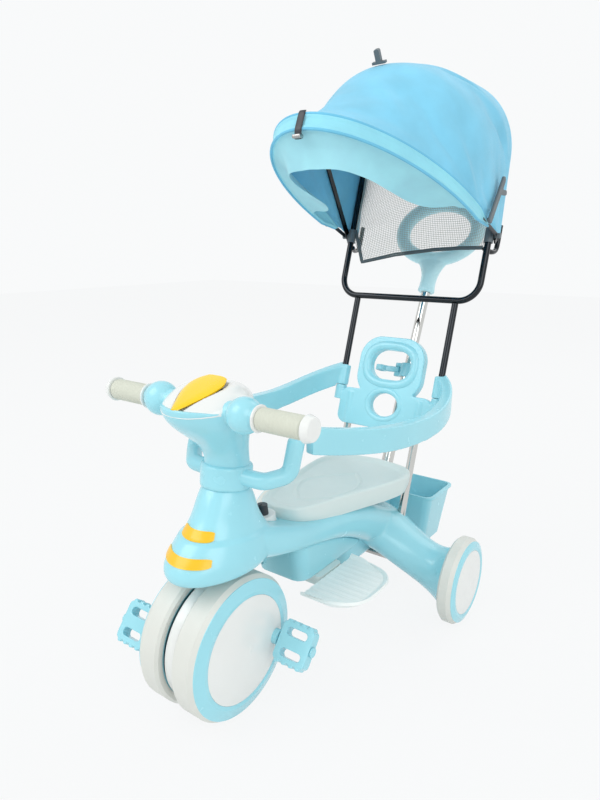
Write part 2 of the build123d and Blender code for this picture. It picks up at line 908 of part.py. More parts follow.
with BuildPart() as backrest:
    with BuildSketch(lean_plane.offset(-back_thick / 2)):
        with Locations((0, (back_bottom + shoulder_up) / 2)):
            RectangleRounded(2 * back_half_width, shoulder_up - back_bottom, 20)
        with Locations((0, (back_top + back_bottom / 2) / 2)):
            RectangleRounded(2 * back_handle_half, back_top - back_bottom / 2, 48)
        with Locations((0, 8)):
            RectangleRounded(92, 62, 30, mode=Mode.SUBTRACT)
        with Locations((0, -76)):
            Ellipse(32, 25, mode=Mode.SUBTRACT)
    extrude(amount=back_thick)
    for side in sides.values():
        with BuildSketch(up_lean(side * stand_leg_x, ear_low)):
            Circle(ear_radius)
        extrude(amount=ear_top - ear_low)
        with BuildSketch(up_lean(side * post_x, back_bottom)):
            Circle(post_radius + socket_wall)
        extrude(amount=post_top - back_bottom + 8)
        with BuildSketch(up_lean(side * post_x, back_bottom)):
            Circle(post_radius + running_gap)
        extrude(amount=post_top - back_bottom, mode=Mode.SUBTRACT)
        with BuildSketch(up_lean(side * stand_leg_x, leg_foot)):
            Circle(stand_tube + running_gap)
        extrude(amount=ear_top - leg_foot + 1, mode=Mode.SUBTRACT)
save(backrest, "backrest")

with BuildPart() as backrest_screws:
    with BuildSketch(lean_plane.offset(-back_thick / 2)):
        for up in (back_bottom + 16, shoulder_up - 14):
            for side in sides.values():
                with Locations((side * 52, up)):
                    Circle(5)
    extrude(amount=-3)
save(backrest_screws, "backrest_screws")

with BuildPart() as backrest_posts:
    for side in sides.values():
        with BuildSketch(up_lean(side * post_x, post_foot_up)):
            Circle(post_radius)
            Circle(post_radius - 1.5, mode=Mode.SUBTRACT)
        extrude(amount=post_top - post_foot_up)
save(backrest_posts, "backrest_posts")

# Stand: two legs carry one closed loop that is also the canopy's rear arch
with BuildPart() as stand_legs:
    for side in sides.values():
        with BuildSketch(up_lean(side * stand_leg_x, leg_foot)):
            Circle(stand_tube)
        extrude(amount=stand_bottom - stand_tube - 0.2 - leg_foot)
save(stand_legs, "stand_legs")

corner = 40.0
corner_x = stand_half_width - corner
corner_up = stand_bottom + corner
diagonal = corner * sin(radians(45))
arch_start = arch_up - stand_half_width

with BuildPart() as stand_loop:
    with BuildLine(lean_plane) as loop_path:
        Line((0, stand_bottom), (corner_x, stand_bottom))
        ThreePointArc(
            (corner_x, stand_bottom),
            (corner_x + diagonal, corner_up - diagonal),
            (stand_half_width, corner_up),
        )
        Line((stand_half_width, corner_up), (stand_half_width, arch_start))
        ThreePointArc((stand_half_width, arch_start), (0, arch_up), (-stand_half_width, arch_start))
        Line((-stand_half_width, arch_start), (-stand_half_width, corner_up))
        ThreePointArc(
            (-stand_half_width, corner_up),
            (-corner_x - diagonal, corner_up - diagonal),
            (-corner_x, stand_bottom),
        )
        Line((-corner_x, stand_bottom), (0, stand_bottom))
    with BuildSketch(Plane(origin=on_lean(0, stand_bottom), z_dir=(1, 0, 0))):
        Circle(stand_tube)
    sweep(path=loop_path.wires()[0])
save(stand_loop, "stand_loop")

# Canopy pivots clipped on the stand
pivot_radius = 5.0
pivot_end = 178.0
clip_radius = 9.0
clip_half = 14.0

with BuildPart() as canopy_pivots:
    for side in sides.values():
        with BuildSketch(up_lean(side * stand_half_width, pivot_up - clip_half)):
            Circle(clip_radius)
        extrude(amount=2 * clip_half)
        with BuildSketch(Plane.YZ.offset(side * (stand_half_width + stand_tube + 0.6))):
            with Locations((pivot_point.Y, pivot_point.Z)):
                Circle(pivot_radius)
        extrude(amount=side * (pivot_end - stand_half_width - stand_tube - 0.6))
        with BuildSketch(up_lean(side * stand_half_width, pivot_up - clip_half)):
            Circle(stand_tube + press_gap)
        extrude(amount=2 * clip_half, mode=Mode.SUBTRACT)
save(canopy_pivots, "canopy_pivots")

# Bows: flat bands bent to a hairpin, with an eye on the pivot
bow_tail = 14.0


def make_bow(angle, half, shoulder, reach, band):
    crown = reach - shoulder
    leg_middle = (shoulder - bow_tail) / 2
    with BuildPart() as bow:
        with BuildSketch(bow_plane(angle)):
            with Locations((0, leg_middle)):
                Rectangle(2 * half + bow_thick, shoulder + bow_tail)
            with Locations((0, shoulder)):
                Ellipse(half + bow_thick / 2, crown + bow_thick / 2)
            with Locations((0, leg_middle - 1)):
                Rectangle(2 * half - bow_thick, shoulder + bow_tail + 2, mode=Mode.SUBTRACT)
            with Locations((0, shoulder)):
                Ellipse(half - bow_thick / 2, crown - bow_thick / 2, mode=Mode.SUBTRACT)
            with Locations((0, -bow_tail - crown)):
                Rectangle(4 * half, 2 * crown, mode=Mode.SUBTRACT)
        extrude(amount=band / 2, both=True)
        with BuildSketch(Plane.YZ.offset(-pivot_end)):
            with Locations((pivot_point.Y, pivot_point.Z)):
                Circle(pivot_radius + running_gap)
        extrude(amount=2 * pivot_end, mode=Mode.SUBTRACT)
    return bow


front_bow = make_bow(
    front_bow_angle, front_bow_half, front_bow_shoulder, front_bow_reach, front_bow_band
)
save(front_bow, "front_bow")
mid_bow = make_bow(mid_bow_angle, mid_bow_half, mid_bow_shoulder, mid_bow_reach, mid_bow_band)
save(mid_bow, "mid_bow")

# Cover: one curved sheet over the bows, from the front band to the rear arch
arch_angle = 90 + recline
cover_tail = 34.0
band_turn = degrees(atan2(front_bow_band / 2, front_bow_reach)) + 1.0
cover_start = cover_gap + bow_thick / 2
front_side = front_bow_half + cover_start
arch_side = stand_half_width + stand_tube + cover_gap
front_dip = 20.0          # how far the sheet sinks between the bows
rear_dip = 10.0
mid_lift = 2.0            # clears the edges of the middle bow
cover_sections = [
    # angle above forward level, half width, shoulder and reach, all inside the sheet
    (front_bow_angle + band_turn, front_side, front_bow_shoulder, front_bow_reach + cover_start),
    (
        (front_bow_angle + mid_bow_angle) / 2,
        front_side,
        (front_bow_shoulder + mid_bow_shoulder) / 2,
        (front_bow_reach + mid_bow_reach) / 2 - front_dip,
    ),
    (mid_bow_angle, front_side, mid_bow_shoulder, mid_bow_reach + cover_start + mid_lift),
    ((mid_bow_angle + arch_angle) / 2, front_side, mid_bow_shoulder, mid_bow_reach - rear_dip),
    (arch_angle, arch_side + 6, mid_bow_shoulder, arch_up - pivot_up + stand_tube + cover_gap),
]

# A lever on each leg of the front bow, bolted through the cover
stay_up = 72.0
stay_length = 92.0
stay_angle = 52.0         # degrees the lever leans back from level
stay_width = 14.0
stay_thick = 5.0
stay_bolt = 4.0
stay_inner = front_side + cover_thick + seat_gap
stay_foot = pivot_point + bow_plane(front_bow_angle).y_dir * stay_up
link_length = 30.0
link_share = 0.7          # how far up the lever the link leaves it

with BuildPart() as canopy_cover:
    for angle, half, shoulder, reach in cover_sections:
        crown = reach - shoulder
        outer = half + cover_thick
        with BuildSketch(bow_plane(angle)):
            with BuildLine():
                EllipticalCenterArc((0, shoulder), outer, crown + cover_thick, 0, arc_size=180)
                EllipticalCenterArc((0, shoulder), half, crown, 0, arc_size=180)
                for side in sides.values():
                    Polyline(
                        (side * outer, shoulder),
                        (side * outer, cover_tail),
                        (side * half, cover_tail),
                        (side * half, shoulder),
                    )
            make_face()
    loft()
    with BuildSketch(Plane.YZ.offset(-pivot_end)):
        with Locations((stay_foot.Y, stay_foot.Z)):
            Circle(stay_bolt + seat_gap)
    extrude(amount=2 * pivot_end, mode=Mode.SUBTRACT)
save(canopy_cover, "canopy_cover")

with BuildPart() as canopy_stays:
    for side in sides.values():
        turn = radians(stay_angle)
        with BuildSketch(Plane.YZ.offset(side * stay_inner)):
            with Locations((
                stay_foot.Y + cos(turn) * stay_length / 2,
                stay_foot.Z + sin(turn) * stay_length / 2,
            )):
                SlotCenterToCenter(stay_length, stay_width, rotation=stay_angle)
            with Locations((
                stay_foot.Y + cos(turn) * stay_length * link_share + link_length / 2,
                stay_foot.Z + sin(turn) * stay_length * link_share,
            )):
                SlotCenterToCenter(link_length, stay_width - 4)
        extrude(amount=side * stay_thick)
        with BuildSketch(Plane.YZ.offset(side * (front_bow_half + bow_thick / 2 + running_gap))):
            with Locations((stay_foot.Y, stay_foot.Z)):
                Circle(stay_bolt)
        extrude(amount=side * (stay_inner - front_bow_half - bow_thick / 2))
save(canopy_stays, "canopy_stays")

# Visor: a brim under the front band that is widest along its sides
visor_half = 84.0
visor_middle = 232.0
visor_reach = 380.0
visor_low = 160.0

with BuildPart() as canopy_visor:
    with BuildSketch(bow_plane(front_bow_angle).offset(front_bow_band / 2 + seat_gap)):
        with Locations((0, front_bow_shoulder)):
            Ellipse(front_bow_half, front_bow_reach - front_bow_shoulder)
        with Locations((0, visor_middle)):
            Ellipse(visor_half, visor_reach - visor_middle, mode=Mode.SUBTRACT)
        with Locations((0, visor_low / 2 - front_bow_reach / 2)):
            Rectangle(4 * front_bow_half, visor_low + front_bow_reach, mode=Mode.SUBTRACT)
        with Locations((0, visor_middle / 2)):
            Rectangle(2 * visor_half, visor_middle, mode=Mode.SUBTRACT)
    extrude(amount=cover_thick)
save(canopy_visor, "canopy_visor")

tab_low = mid_bow_reach + cover_start + mid_lift + cover_thick + 2 * seat_gap
tab_height = 24.0
tab_width = 10.0
tab_foot = 26.0
tab_foot_thick = 4.0
tab_thick = 7.0
with BuildPart() as canopy_top_tab:
    with BuildSketch(bow_plane(mid_bow_angle)):
        with Locations((0, tab_low + tab_foot_thick / 2)):
            Rectangle(tab_foot, tab_foot_thick)
        with Locations((0, tab_low + tab_height / 2)):
            RectangleRounded(tab_width, tab_height, tab_width / 3)
    extrude(amount=tab_thick / 2, both=True)
save(canopy_top_tab, "canopy_top_tab")

# Strap over the front edge of the band
strap_x = -40.0
strap_width = 14.0
strap_thick = 2.4
strap_rise = 1.7          # its middle above the bow's face
strap_half = front_bow_half + bow_thick / 2
strap_crown = front_bow_reach - front_bow_shoulder + bow_thick / 2
strap_across = strap_x / strap_half
strap_up = front_bow_shoulder + strap_crown * (1 - strap_across**2) ** 0.5
strap_slope = -strap_across * strap_crown / (strap_half * (1 - strap_across**2) ** 0.5)
with BuildPart() as hoop_strap:
    with BuildSketch(bow_plane(front_bow_angle).offset(2)):
        with Locations((strap_x, strap_up + strap_rise)):
            Rectangle(strap_width, strap_thick, rotation=degrees(atan2(strap_slope, 1)))
    extrude(amount=front_bow_band / 2)
save(hoop_strap, "hoop_strap")

# Net curtain inside the loop
net_low = 225.0
net_thick = 1.5
net_half = stand_half_width - stand_tube - seat_gap
net_pitch = 20.0
net_columns = 12
net_rows = 15

with BuildPart() as mesh_curtain:
    with BuildSketch(lean_plane.offset(-net_thick / 2)):
        with Locations((0, (net_low + arch_start) / 2)):
            Rectangle(2 * net_half, arch_start - net_low)
        with Locations((0, arch_start)):
            Circle(net_half)
        with Locations((0, net_low + net_pitch * (net_rows + 1) / 2)):
            with GridLocations(net_pitch, net_pitch, net_columns, net_rows):
                Rectangle(0.7 * net_pitch, 0.7 * net_pitch, mode=Mode.SUBTRACT)
        with Locations((0, pivot_up)):
            with GridLocations(2 * stand_half_width, 0, 2, 1):
                notch = 2 * (clip_radius + seat_gap)
                Rectangle(notch, 2 * (clip_half + seat_gap), mode=Mode.SUBTRACT)
    extrude(amount=net_thick)
save(mesh_curtain, "mesh_curtain")

# Push pole: a tube in a tube with a lever clamp and a ring handle
with BuildPart() as push_tube_lower:
    with BuildSketch(pole_plane):
        Circle(lower_tube_radius)
        Circle(upper_tube_radius + running_gap, mode=Mode.SUBTRACT)
    extrude(amount=lower_tube_length)
save(push_tube_lower, "push_tube_lower")

with BuildPart() as push_tube_upper:
    with BuildSketch(pole_plane.offset(upper_tube_start)):
        Circle(upper_tube_radius)
        Circle(upper_tube_radius - 1.5, mode=Mode.SUBTRACT)
    extrude(amount=upper_tube_end - upper_tube_start)
save(push_tube_upper, "push_tube_upper")

clamp_length = 30.0
clamp_low = lower_tube_length - clamp_length
clamp_radius = lower_tube_radius + 4.5
lever_thick = 12.0
lever_pin_x = -(clamp_radius + 8)
lever_pin_radius = 2.5
lever_eye = 6.0
ear_thick = (clamp_length - lever_thick) / 2 - seat_gap

with BuildPart() as pole_clamp:
    with BuildSketch(pole_plane.offset(clamp_low)):
        Circle(clamp_radius)
    extrude(amount=clamp_length)
    for start in (clamp_low, clamp_low + clamp_length - ear_thick):
        with BuildSketch(pole_plane.offset(start)):
            with Locations((lever_pin_x / 2, 0)):
                Rectangle(-lever_pin_x, 2 * lever_eye)
            with Locations((lever_pin_x, 0)):
                Circle(lever_eye)
        extrude(amount=ear_thick)
    with BuildSketch(pole_plane.offset(clamp_low)):
        with Locations((lever_pin_x, 0)):
            Circle(lever_pin_radius)
    extrude(amount=clamp_length)
    with BuildSketch(pole_plane.offset(clamp_low)):
        Circle(lower_tube_radius + press_gap)
    extrude(amount=clamp_length, mode=Mode.SUBTRACT)
save(pole_clamp, "pole_clamp")

lever_length = 40.0
with BuildPart() as pole_clamp_lever:
    with BuildSketch(pole_plane.offset(clamp_low + ear_thick + seat_gap)):
        with Locations((lever_pin_x - lever_length / 2, 0)):
            Rectangle(lever_length, 8)
        with Locations((lever_pin_x, 0)):
            Circle(lever_eye)
        with Locations((lever_pin_x - lever_length, 0)):
            Ellipse(13, 11)
            Ellipse(8, 6, mode=Mode.SUBTRACT)
        with Locations((lever_pin_x, 0)):
            Circle(lever_pin_radius + running_gap, mode=Mode.SUBTRACT)
    extrude(amount=lever_thick)
save(pole_clamp_lever, "pole_clamp_lever")

handle_face = Plane(origin=pole_plane.origin, x_dir=(1, 0, 0), z_dir=Vector(1, 0, 0).cross(pole_up))
neck_length = 22.0
ring_low = handle_ring_up - handle_half_height

with BuildPart() as push_handle:
    with BuildSketch(handle_face, mode=Mode.PRIVATE) as ring_line:
        with Locations((0, handle_ring_up)):
            Ellipse(handle_half_width, handle_half_height)
    ring_path = ring_line.sketch.edges()[0]
    with BuildSketch(Plane(origin=ring_path @ 0, z_dir=ring_path % 0)):
        Circle(handle_tube)
    sweep(path=ring_path)
    for up, half_width, half_depth in (
        (upper_tube_end - neck_length, 16, 16),
        (ring_low - 34, 17, 15),
        (ring_low + 2, 42, 11),
    ):
        with BuildSketch(pole_plane.offset(up)):
            Ellipse(half_width, half_depth)
    loft()
    with BuildSketch(pole_plane.offset(upper_tube_end - neck_length)):
        Circle(upper_tube_radius + press_gap)
    extrude(amount=neck_length, mode=Mode.SUBTRACT)
save(push_handle, "push_handle")

# Guard rails: a plan curve crossed with a side curve, hinged on the stand legs
rail_plan = [(111, 536), (146, 486), (164, 412), (164, 330), (154, 232), (130, 150), (106, 92)]
rail_rise = [(88, 420), (150, 407), (220, 396), (300, 388), (380, 387), (460, 398), (548, 422)]
barrel_low = ear_top + 0.5
barrel_top = -3.0
barrel_outer = 13.0


# Points beside a curve, at a distance to its left
def beside(points, distance):
    moved = []
    last = len(points) - 1
    for index, (a, b) in enumerate(points):
        before = points[max(index - 1, 0)]
        after = points[min(index + 1, last)]
        along_a = after[0] - before[0]
        along_b = after[1] - before[1]
        length = hypot(along_a, along_b)
        moved.append((a - distance * along_b / length, b + distance * along_a / length))
    return moved


for name, side in sides.items():
    plan = [(side * x, front_axle_y + station) for x, station in rail_plan]
    rise = [(front_axle_y + station, z) for station, z in rail_rise]
    with BuildPart() as guard_rail:
        with BuildSketch(level(340)):
            with BuildLine():
                one_side = beside(plan, rail_thick / 2)
                other_side = beside(plan, -rail_thick / 2)
                Spline(*one_side)
                Spline(*other_side)
                Line(one_side[0], other_side[0])
                Line(one_side[-1], other_side[-1])
            make_face()
        extrude(amount=140)
        with BuildSketch(Plane.YZ.offset(side * 60), mode=Mode.PRIVATE) as side_view:
            with BuildLine():
                upper_edge = beside(rise, rail_height / 2)
                lower_edge = beside(rise, -rail_height / 2)
                Spline(*upper_edge)
                Spline(*lower_edge)
                Line(upper_edge[0], lower_edge[0])
                Line(upper_edge[-1], lower_edge[-1])
            make_face()
        extrude(side_view.sketch, amount=side * 140, mode=Mode.INTERSECT)
        with BuildSketch(up_lean(side * stand_leg_x, ear_low)):
            Circle(ear_radius + 2)
        extrude(amount=barrel_low - ear_low, mode=Mode.SUBTRACT)
        with BuildSketch(up_lean(side * stand_leg_x, barrel_low)):
            Circle(barrel_outer)
        extrude(amount=barrel_top - barrel_low)
        with BuildSketch(up_lean(side * stand_leg_x, barrel_low - 40)):
            Circle(stand_tube + running_gap)
        extrude(amount=barrel_top - barrel_low + 80, mode=Mode.SUBTRACT)
    save(guard_rail, f"guard_rail_{name}")

# Basket behind the push pole
basket_wall = 2.5
with BuildPart() as basket:
    for inset, mode in ((0, Mode.ADD), (basket_wall, Mode.SUBTRACT)):
        for z, half, rear in (
            (basket_bottom + inset, basket_half_width - 14, basket_rear - 18),
            (basket_top, basket_half_width, basket_rear),
        ):
            with BuildSketch(level(z)):
                with Locations((0, front_axle_y + (basket_front + rear) / 2)):
                    RectangleRounded(2 * (half - inset), rear - basket_front - 2 * inset, 16)
        loft(mode=mode)
    with BuildSketch(level(basket_top - 4)):
        with Locations((0, front_axle_y + (basket_front + basket_rear) / 2)):
            RectangleRounded(2 * basket_half_width + 10, basket_rear - basket_front, 18)
            RectangleRounded(
                2 * (basket_half_width - basket_wall), basket_rear - basket_front - 2 * basket_wall, 15,
                mode=Mode.SUBTRACT,
            )
    extrude(amount=4)
save(basket, "basket")
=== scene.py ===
import json
from math import cos, exp, hypot, pi, radians, sin

import bpy
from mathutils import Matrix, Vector, noise


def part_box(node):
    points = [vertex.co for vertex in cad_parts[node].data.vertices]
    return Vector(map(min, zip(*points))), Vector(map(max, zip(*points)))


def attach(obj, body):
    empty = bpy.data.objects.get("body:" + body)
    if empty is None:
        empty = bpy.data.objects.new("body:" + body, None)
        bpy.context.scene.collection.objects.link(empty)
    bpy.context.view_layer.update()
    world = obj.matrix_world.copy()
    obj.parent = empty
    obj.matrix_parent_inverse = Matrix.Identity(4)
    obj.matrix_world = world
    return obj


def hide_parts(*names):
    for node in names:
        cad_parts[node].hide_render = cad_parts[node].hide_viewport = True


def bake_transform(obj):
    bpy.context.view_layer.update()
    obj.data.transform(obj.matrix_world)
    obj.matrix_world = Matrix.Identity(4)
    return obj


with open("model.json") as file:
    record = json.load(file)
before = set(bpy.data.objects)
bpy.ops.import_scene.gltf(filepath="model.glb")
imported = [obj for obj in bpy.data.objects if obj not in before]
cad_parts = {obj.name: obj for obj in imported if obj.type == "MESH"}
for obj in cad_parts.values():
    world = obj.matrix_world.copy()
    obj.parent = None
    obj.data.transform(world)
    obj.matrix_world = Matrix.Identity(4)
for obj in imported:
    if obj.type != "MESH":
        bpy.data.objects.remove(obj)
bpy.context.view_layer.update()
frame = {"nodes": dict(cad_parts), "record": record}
nodes = frame["nodes"]
joints = {joint["name"]: joint for joint in frame["record"]["behaviour"]["joints"]}
scene = bpy.context.scene
print("frame loaded with", len(nodes), "nodes")

# places that the joints give, in metres
frontAxle = Vector(joints["steering_turn"]["pos_m"])
steerUp = Vector(joints["steering_turn"]["axis"])
canopyPivot = Vector(joints["canopy_fold"]["pos_m"])
leanUp = Vector(joints["left_guard_swing"]["axis"])
acrossX = Vector((1, 0, 0))
leanFace = acrossX.cross(leanUp)  # points forward out of the leaning plane

# values that the sections share
mm = 0.001
bothSides = (("Left", 1), ("Right", -1))
mergeWithin = {"node": 0.00001, "bar": 0.00002, "sheet": 0.000001}  # points this near become one
sheetCrease = 50  # edges that bend more than this stay sharp, in degrees
barCrease = 60  # the same for bars


# small hand tools
def deselectAll():
    if bpy.context.object and bpy.context.object.mode != "OBJECT":
        bpy.ops.object.mode_set(mode="OBJECT")
    bpy.ops.object.select_all(action="DESELECT")


def makeActive(piece):
    deselectAll()
    piece.select_set(True)
    bpy.context.view_layer.objects.active = piece


def applyModifier(piece, kind, **settings):
    makeActive(piece)
    modifier = piece.modifiers.new(kind.lower(), kind)
    for key, value in settings.items():
        setattr(modifier, key, value)
    bpy.ops.object.modifier_apply(modifier=modifier.name)


def mergeAndRecalculate(piece, kind):
    makeActive(piece)
    bpy.ops.object.mode_set(mode="EDIT")
    bpy.ops.mesh.select_all(action="SELECT")
    bpy.ops.mesh.remove_doubles(threshold=mergeWithin[kind])
    bpy.ops.mesh.normals_make_consistent(inside=False)
    bpy.ops.object.mode_set(mode="OBJECT")


def smoothShade(piece, angle=None):
    makeActive(piece)
    if angle is None:
        bpy.ops.object.shade_smooth()
    else:
        bpy.ops.object.shade_smooth_by_angle(angle=radians(angle))


def held(value, low=0, high=1):
    return min(max(value, low), high)


def curveThrough(stops, t):
    # smooth value at t through (place, value) stops
    count = len(stops)
    index = 0
    while index < count - 2 and t > stops[index + 1][0]:
        index += 1
    t0, a = stops[index]
    t1, b = stops[index + 1]
    share = held((t - t0) / (t1 - t0))
    slopes = []
    for i in (index, index + 1):
        before, after = stops[max(i - 1, 0)], stops[min(i + 1, count - 1)]
        slopes.append((after[1] - before[1]) / (after[0] - before[0]) * (t1 - t0))
    s2, s3 = share * share, share ** 3
    return ((2 * s3 - 3 * s2 + 1) * a + (s3 - 2 * s2 + share) * slopes[0]
            + (3 * s2 - 2 * s3) * b + (s3 - s2) * slopes[1])


def rowAt(rows, t):
    # every column of a table of rows at t, where the first column is the place
    return [curveThrough([(row[0], row[k]) for row in rows], t) for k in range(1, len(rows[0]))]


def lineThrough(stops, t):
    # straight from stop to stop
    for (t0, a), (t1, b) in zip(stops, stops[1:]):
        if t <= t1:
            return a + (b - a) * (t - t0) / (t1 - t0)
    return stops[-1][1]


def shapedGrid(name, grid, pointAt):
    # a grid primitive whose points are then set out by a rule of (u, v)
    deselectAll()
    bpy.ops.mesh.primitive_grid_add(x_subdivisions=grid[0], y_subdivisions=grid[1], size=2)
    piece = bpy.context.object
    piece.name = name
    piece.data.name = name
    for vertex in piece.data.vertices:
        u, v = (vertex.co.x + 1) / 2, (vertex.co.y + 1) / 2
        vertex.co = pointAt(u, v)
    return piece


def thinSheet(name, grid, pointAt, thick, offset, angle=sheetCrease):
    # a shaped grid given a wall, thick in mm
    piece = shapedGrid(name, grid, pointAt)
    mergeAndRecalculate(piece, "sheet")
    applyModifier(piece, "SOLIDIFY", thickness=thick * mm, offset=offset)
    smoothShade(piece, angle)
    return piece


def closedBar(name, grid, pointAt):
    # a grid rolled into a bar: u runs round it, and its two ends are filled
    piece = shapedGrid(name, grid, pointAt)
    mergeAndRecalculate(piece, "bar")
    bpy.ops.object.mode_set(mode="EDIT")
    bpy.ops.mesh.select_all(action="DESELECT")
    bpy.ops.mesh.select_mode(type="EDGE")
    bpy.ops.mesh.select_non_manifold(extend=False)
    bpy.ops.mesh.fill_holes(sides=0)
    bpy.ops.mesh.select_all(action="SELECT")
    bpy.ops.mesh.normals_make_consistent(inside=False)
    bpy.ops.object.mode_set(mode="OBJECT")
    smoothShade(piece, barCrease)
    return piece


def roundBar(name, radius, along, pathAt):
    # a round bar along a path; pathAt(v) gives its middle
    sides = 14
    step = 0.005
    steady = Vector((0.31, 0.17, 0.93))  # a direction that none of the paths follows

    def point(u, v):
        way = (pathAt(min(v + step, 1)) - pathAt(max(v - step, 0))).normalized()
        side = way.cross(steady).normalized()
        turn = 2 * pi * u
        return pathAt(v) + (side * cos(turn) + way.cross(side) * sin(turn)) * (radius * mm)
    return closedBar(name, (sides, along), point)


def bevelledBox(name, middle, size, width, segments):
    deselectAll()
    bpy.ops.mesh.primitive_cube_add(size=1, location=middle, scale=size)
    piece = bpy.context.object
    piece.name = name
    bpy.ops.object.transform_apply(location=True, rotation=True, scale=True)
    applyModifier(piece, "BEVEL", width=width, segments=segments)
    smoothShade(piece, sheetCrease)
    return piece


def copyNode(nodeName, pieceName):
    mesh = nodes[nodeName].data.copy()
    mesh.name = pieceName
    piece = bpy.data.objects.new(pieceName, mesh)
    scene.collection.objects.link(piece)
    makeActive(piece)
    bpy.ops.mesh.customdata_custom_splitnormals_clear()
    bpy.ops.object.mode_set(mode="EDIT")
    bpy.ops.mesh.select_all(action="SELECT")
    bpy.ops.mesh.remove_doubles(threshold=mergeWithin["node"])
    bpy.ops.object.mode_set(mode="OBJECT")
    return piece


def easeEdges(piece, voxel, rounds):
    # moulded look: remeshed finely, then smoothed
    applyModifier(piece, "REMESH", mode="VOXEL", voxel_size=voxel, adaptivity=0.0)
    applyModifier(piece, "SMOOTH", factor=0.5, iterations=rounds)


def dress(piece, finish, body=None, replaced=()):
    piece.data.materials.clear()
    piece.data.materials.append(finishes[finish])
    if replaced:
        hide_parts(*replaced)
    if body:
        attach(piece, body)
    return piece


# finishes
def fromSrgb(red, green, blue):
    channels = []
    for value in (red, green, blue):
        share = value / 255
        channels.append(share / 12.92 if share <= 0.04045 else ((share + 0.055) / 1.055) ** 2.4)
    return channels


def shaded(colour, factor):
    return [min(channel * factor, 1) for channel in colour] + [1]


def startMaterial(name):
    material = bpy.data.materials.new(name)
    material.use_nodes = True
    tree = material.node_tree
    coordinates = tree.nodes.new("ShaderNodeTexCoord")
    return material, tree, tree.nodes["Principled BSDF"], coordinates


def addNoise(tree, source, scale, detail=3.0):
    node = tree.nodes.new("ShaderNodeTexNoise")
    node.inputs["Scale"].default_value = scale
    node.inputs["Detail"].default_value = detail
    tree.links.new(source, node.inputs["Vector"])
    return node.outputs["Fac"]


def spread(tree, source, low, high):
    # stretches the middle of a noise over low to high
    node = tree.nodes.new("ShaderNodeMapRange")
    node.inputs["From Min"].default_value = 0.3
    node.inputs["From Max"].default_value = 0.7
    node.inputs["To Min"].default_value = low
    node.inputs["To Max"].default_value = high
    tree.links.new(source, node.inputs["Value"])
    return node.outputs["Result"]


def blended(tree, source, first, second):
    node = tree.nodes.new("ShaderNodeMix")
    node.data_type = "RGBA"
    node.inputs["A"].default_value = first
    node.inputs["B"].default_value = second
    tree.links.new(source, node.inputs["Factor"])
    return node.outputs["Result"]


def addMath(tree, operation, first, second):
    node = tree.nodes.new("ShaderNodeMath")
    node.operation = operation
    tree.links.new(first, node.inputs[0])
    tree.links.new(second, node.inputs[1])
    return node.outputs["Value"]


def addBump(tree, shader, height, strength, distance):
    node = tree.nodes.new("ShaderNodeBump")
    node.inputs["Strength"].default_value = strength
    node.inputs["Distance"].default_value = distance
    tree.links.new(height, node.inputs["Height"])
    tree.links.new(node.outputs["Normal"], shader.inputs["Normal"])


def mixShaders(tree, first, second, output):
    mix = tree.nodes.new("ShaderNodeMixShader")
    tree.links.new(first, mix.inputs[1])
    tree.links.new(second, mix.inputs[2])
    tree.links.new(mix.outputs["Shader"], output.inputs["Surface"])
    return mix.inputs["Fac"]


plastic = {
    "blotchScale": 9.0, "scuffScale": 45.0, "scuffDetail": 5.0, "scuffLow": 0.85, "scuffHigh": 1.15,
    "grainHeight": 0.0004, "coatRoughness": 0.16,
}
cloth = {
    "waveBands": 20,  # a wave texture of scale 2 pi has this many bands across a unit
    "waviness": 0.4, "weaveStrength": 0.25, "weaveHeight": 0.0002,
    "cloudScale": 16.0, "cloudDetail": 4.0, "tintLow": 0.93, "tintHigh": 1.06,
    "sheenRoughness": 0.4, "through": 0.16,
}


def moulded(name, colour, roughness, metallic=0.0, coat=0.0, blotch=0.03, grain=700, depth=0.006):
    material, tree, shader, coordinates = startMaterial(name)
    place = coordinates.outputs["Object"]
    wide = spread(tree, addNoise(tree, place, plastic["blotchScale"]), 0.0, 1.0)
    tint = blended(tree, wide, shaded(colour, 1 - blotch), shaded(colour, 1 + blotch))
    tree.links.new(tint, shader.inputs["Base Color"])
    marks = addNoise(tree, place, plastic["scuffScale"], plastic["scuffDetail"])
    scuff = spread(tree, marks, roughness * plastic["scuffLow"], roughness * plastic["scuffHigh"])
    tree.links.new(scuff, shader.inputs["Roughness"])
    if depth > 0:
        addBump(tree, shader, addNoise(tree, place, grain), depth, plastic["grainHeight"])
    shader.inputs["Metallic"].default_value = metallic
    shader.inputs["Coat Weight"].default_value = coat
    shader.inputs["Coat Roughness"].default_value = plastic["coatRoughness"]
    return material


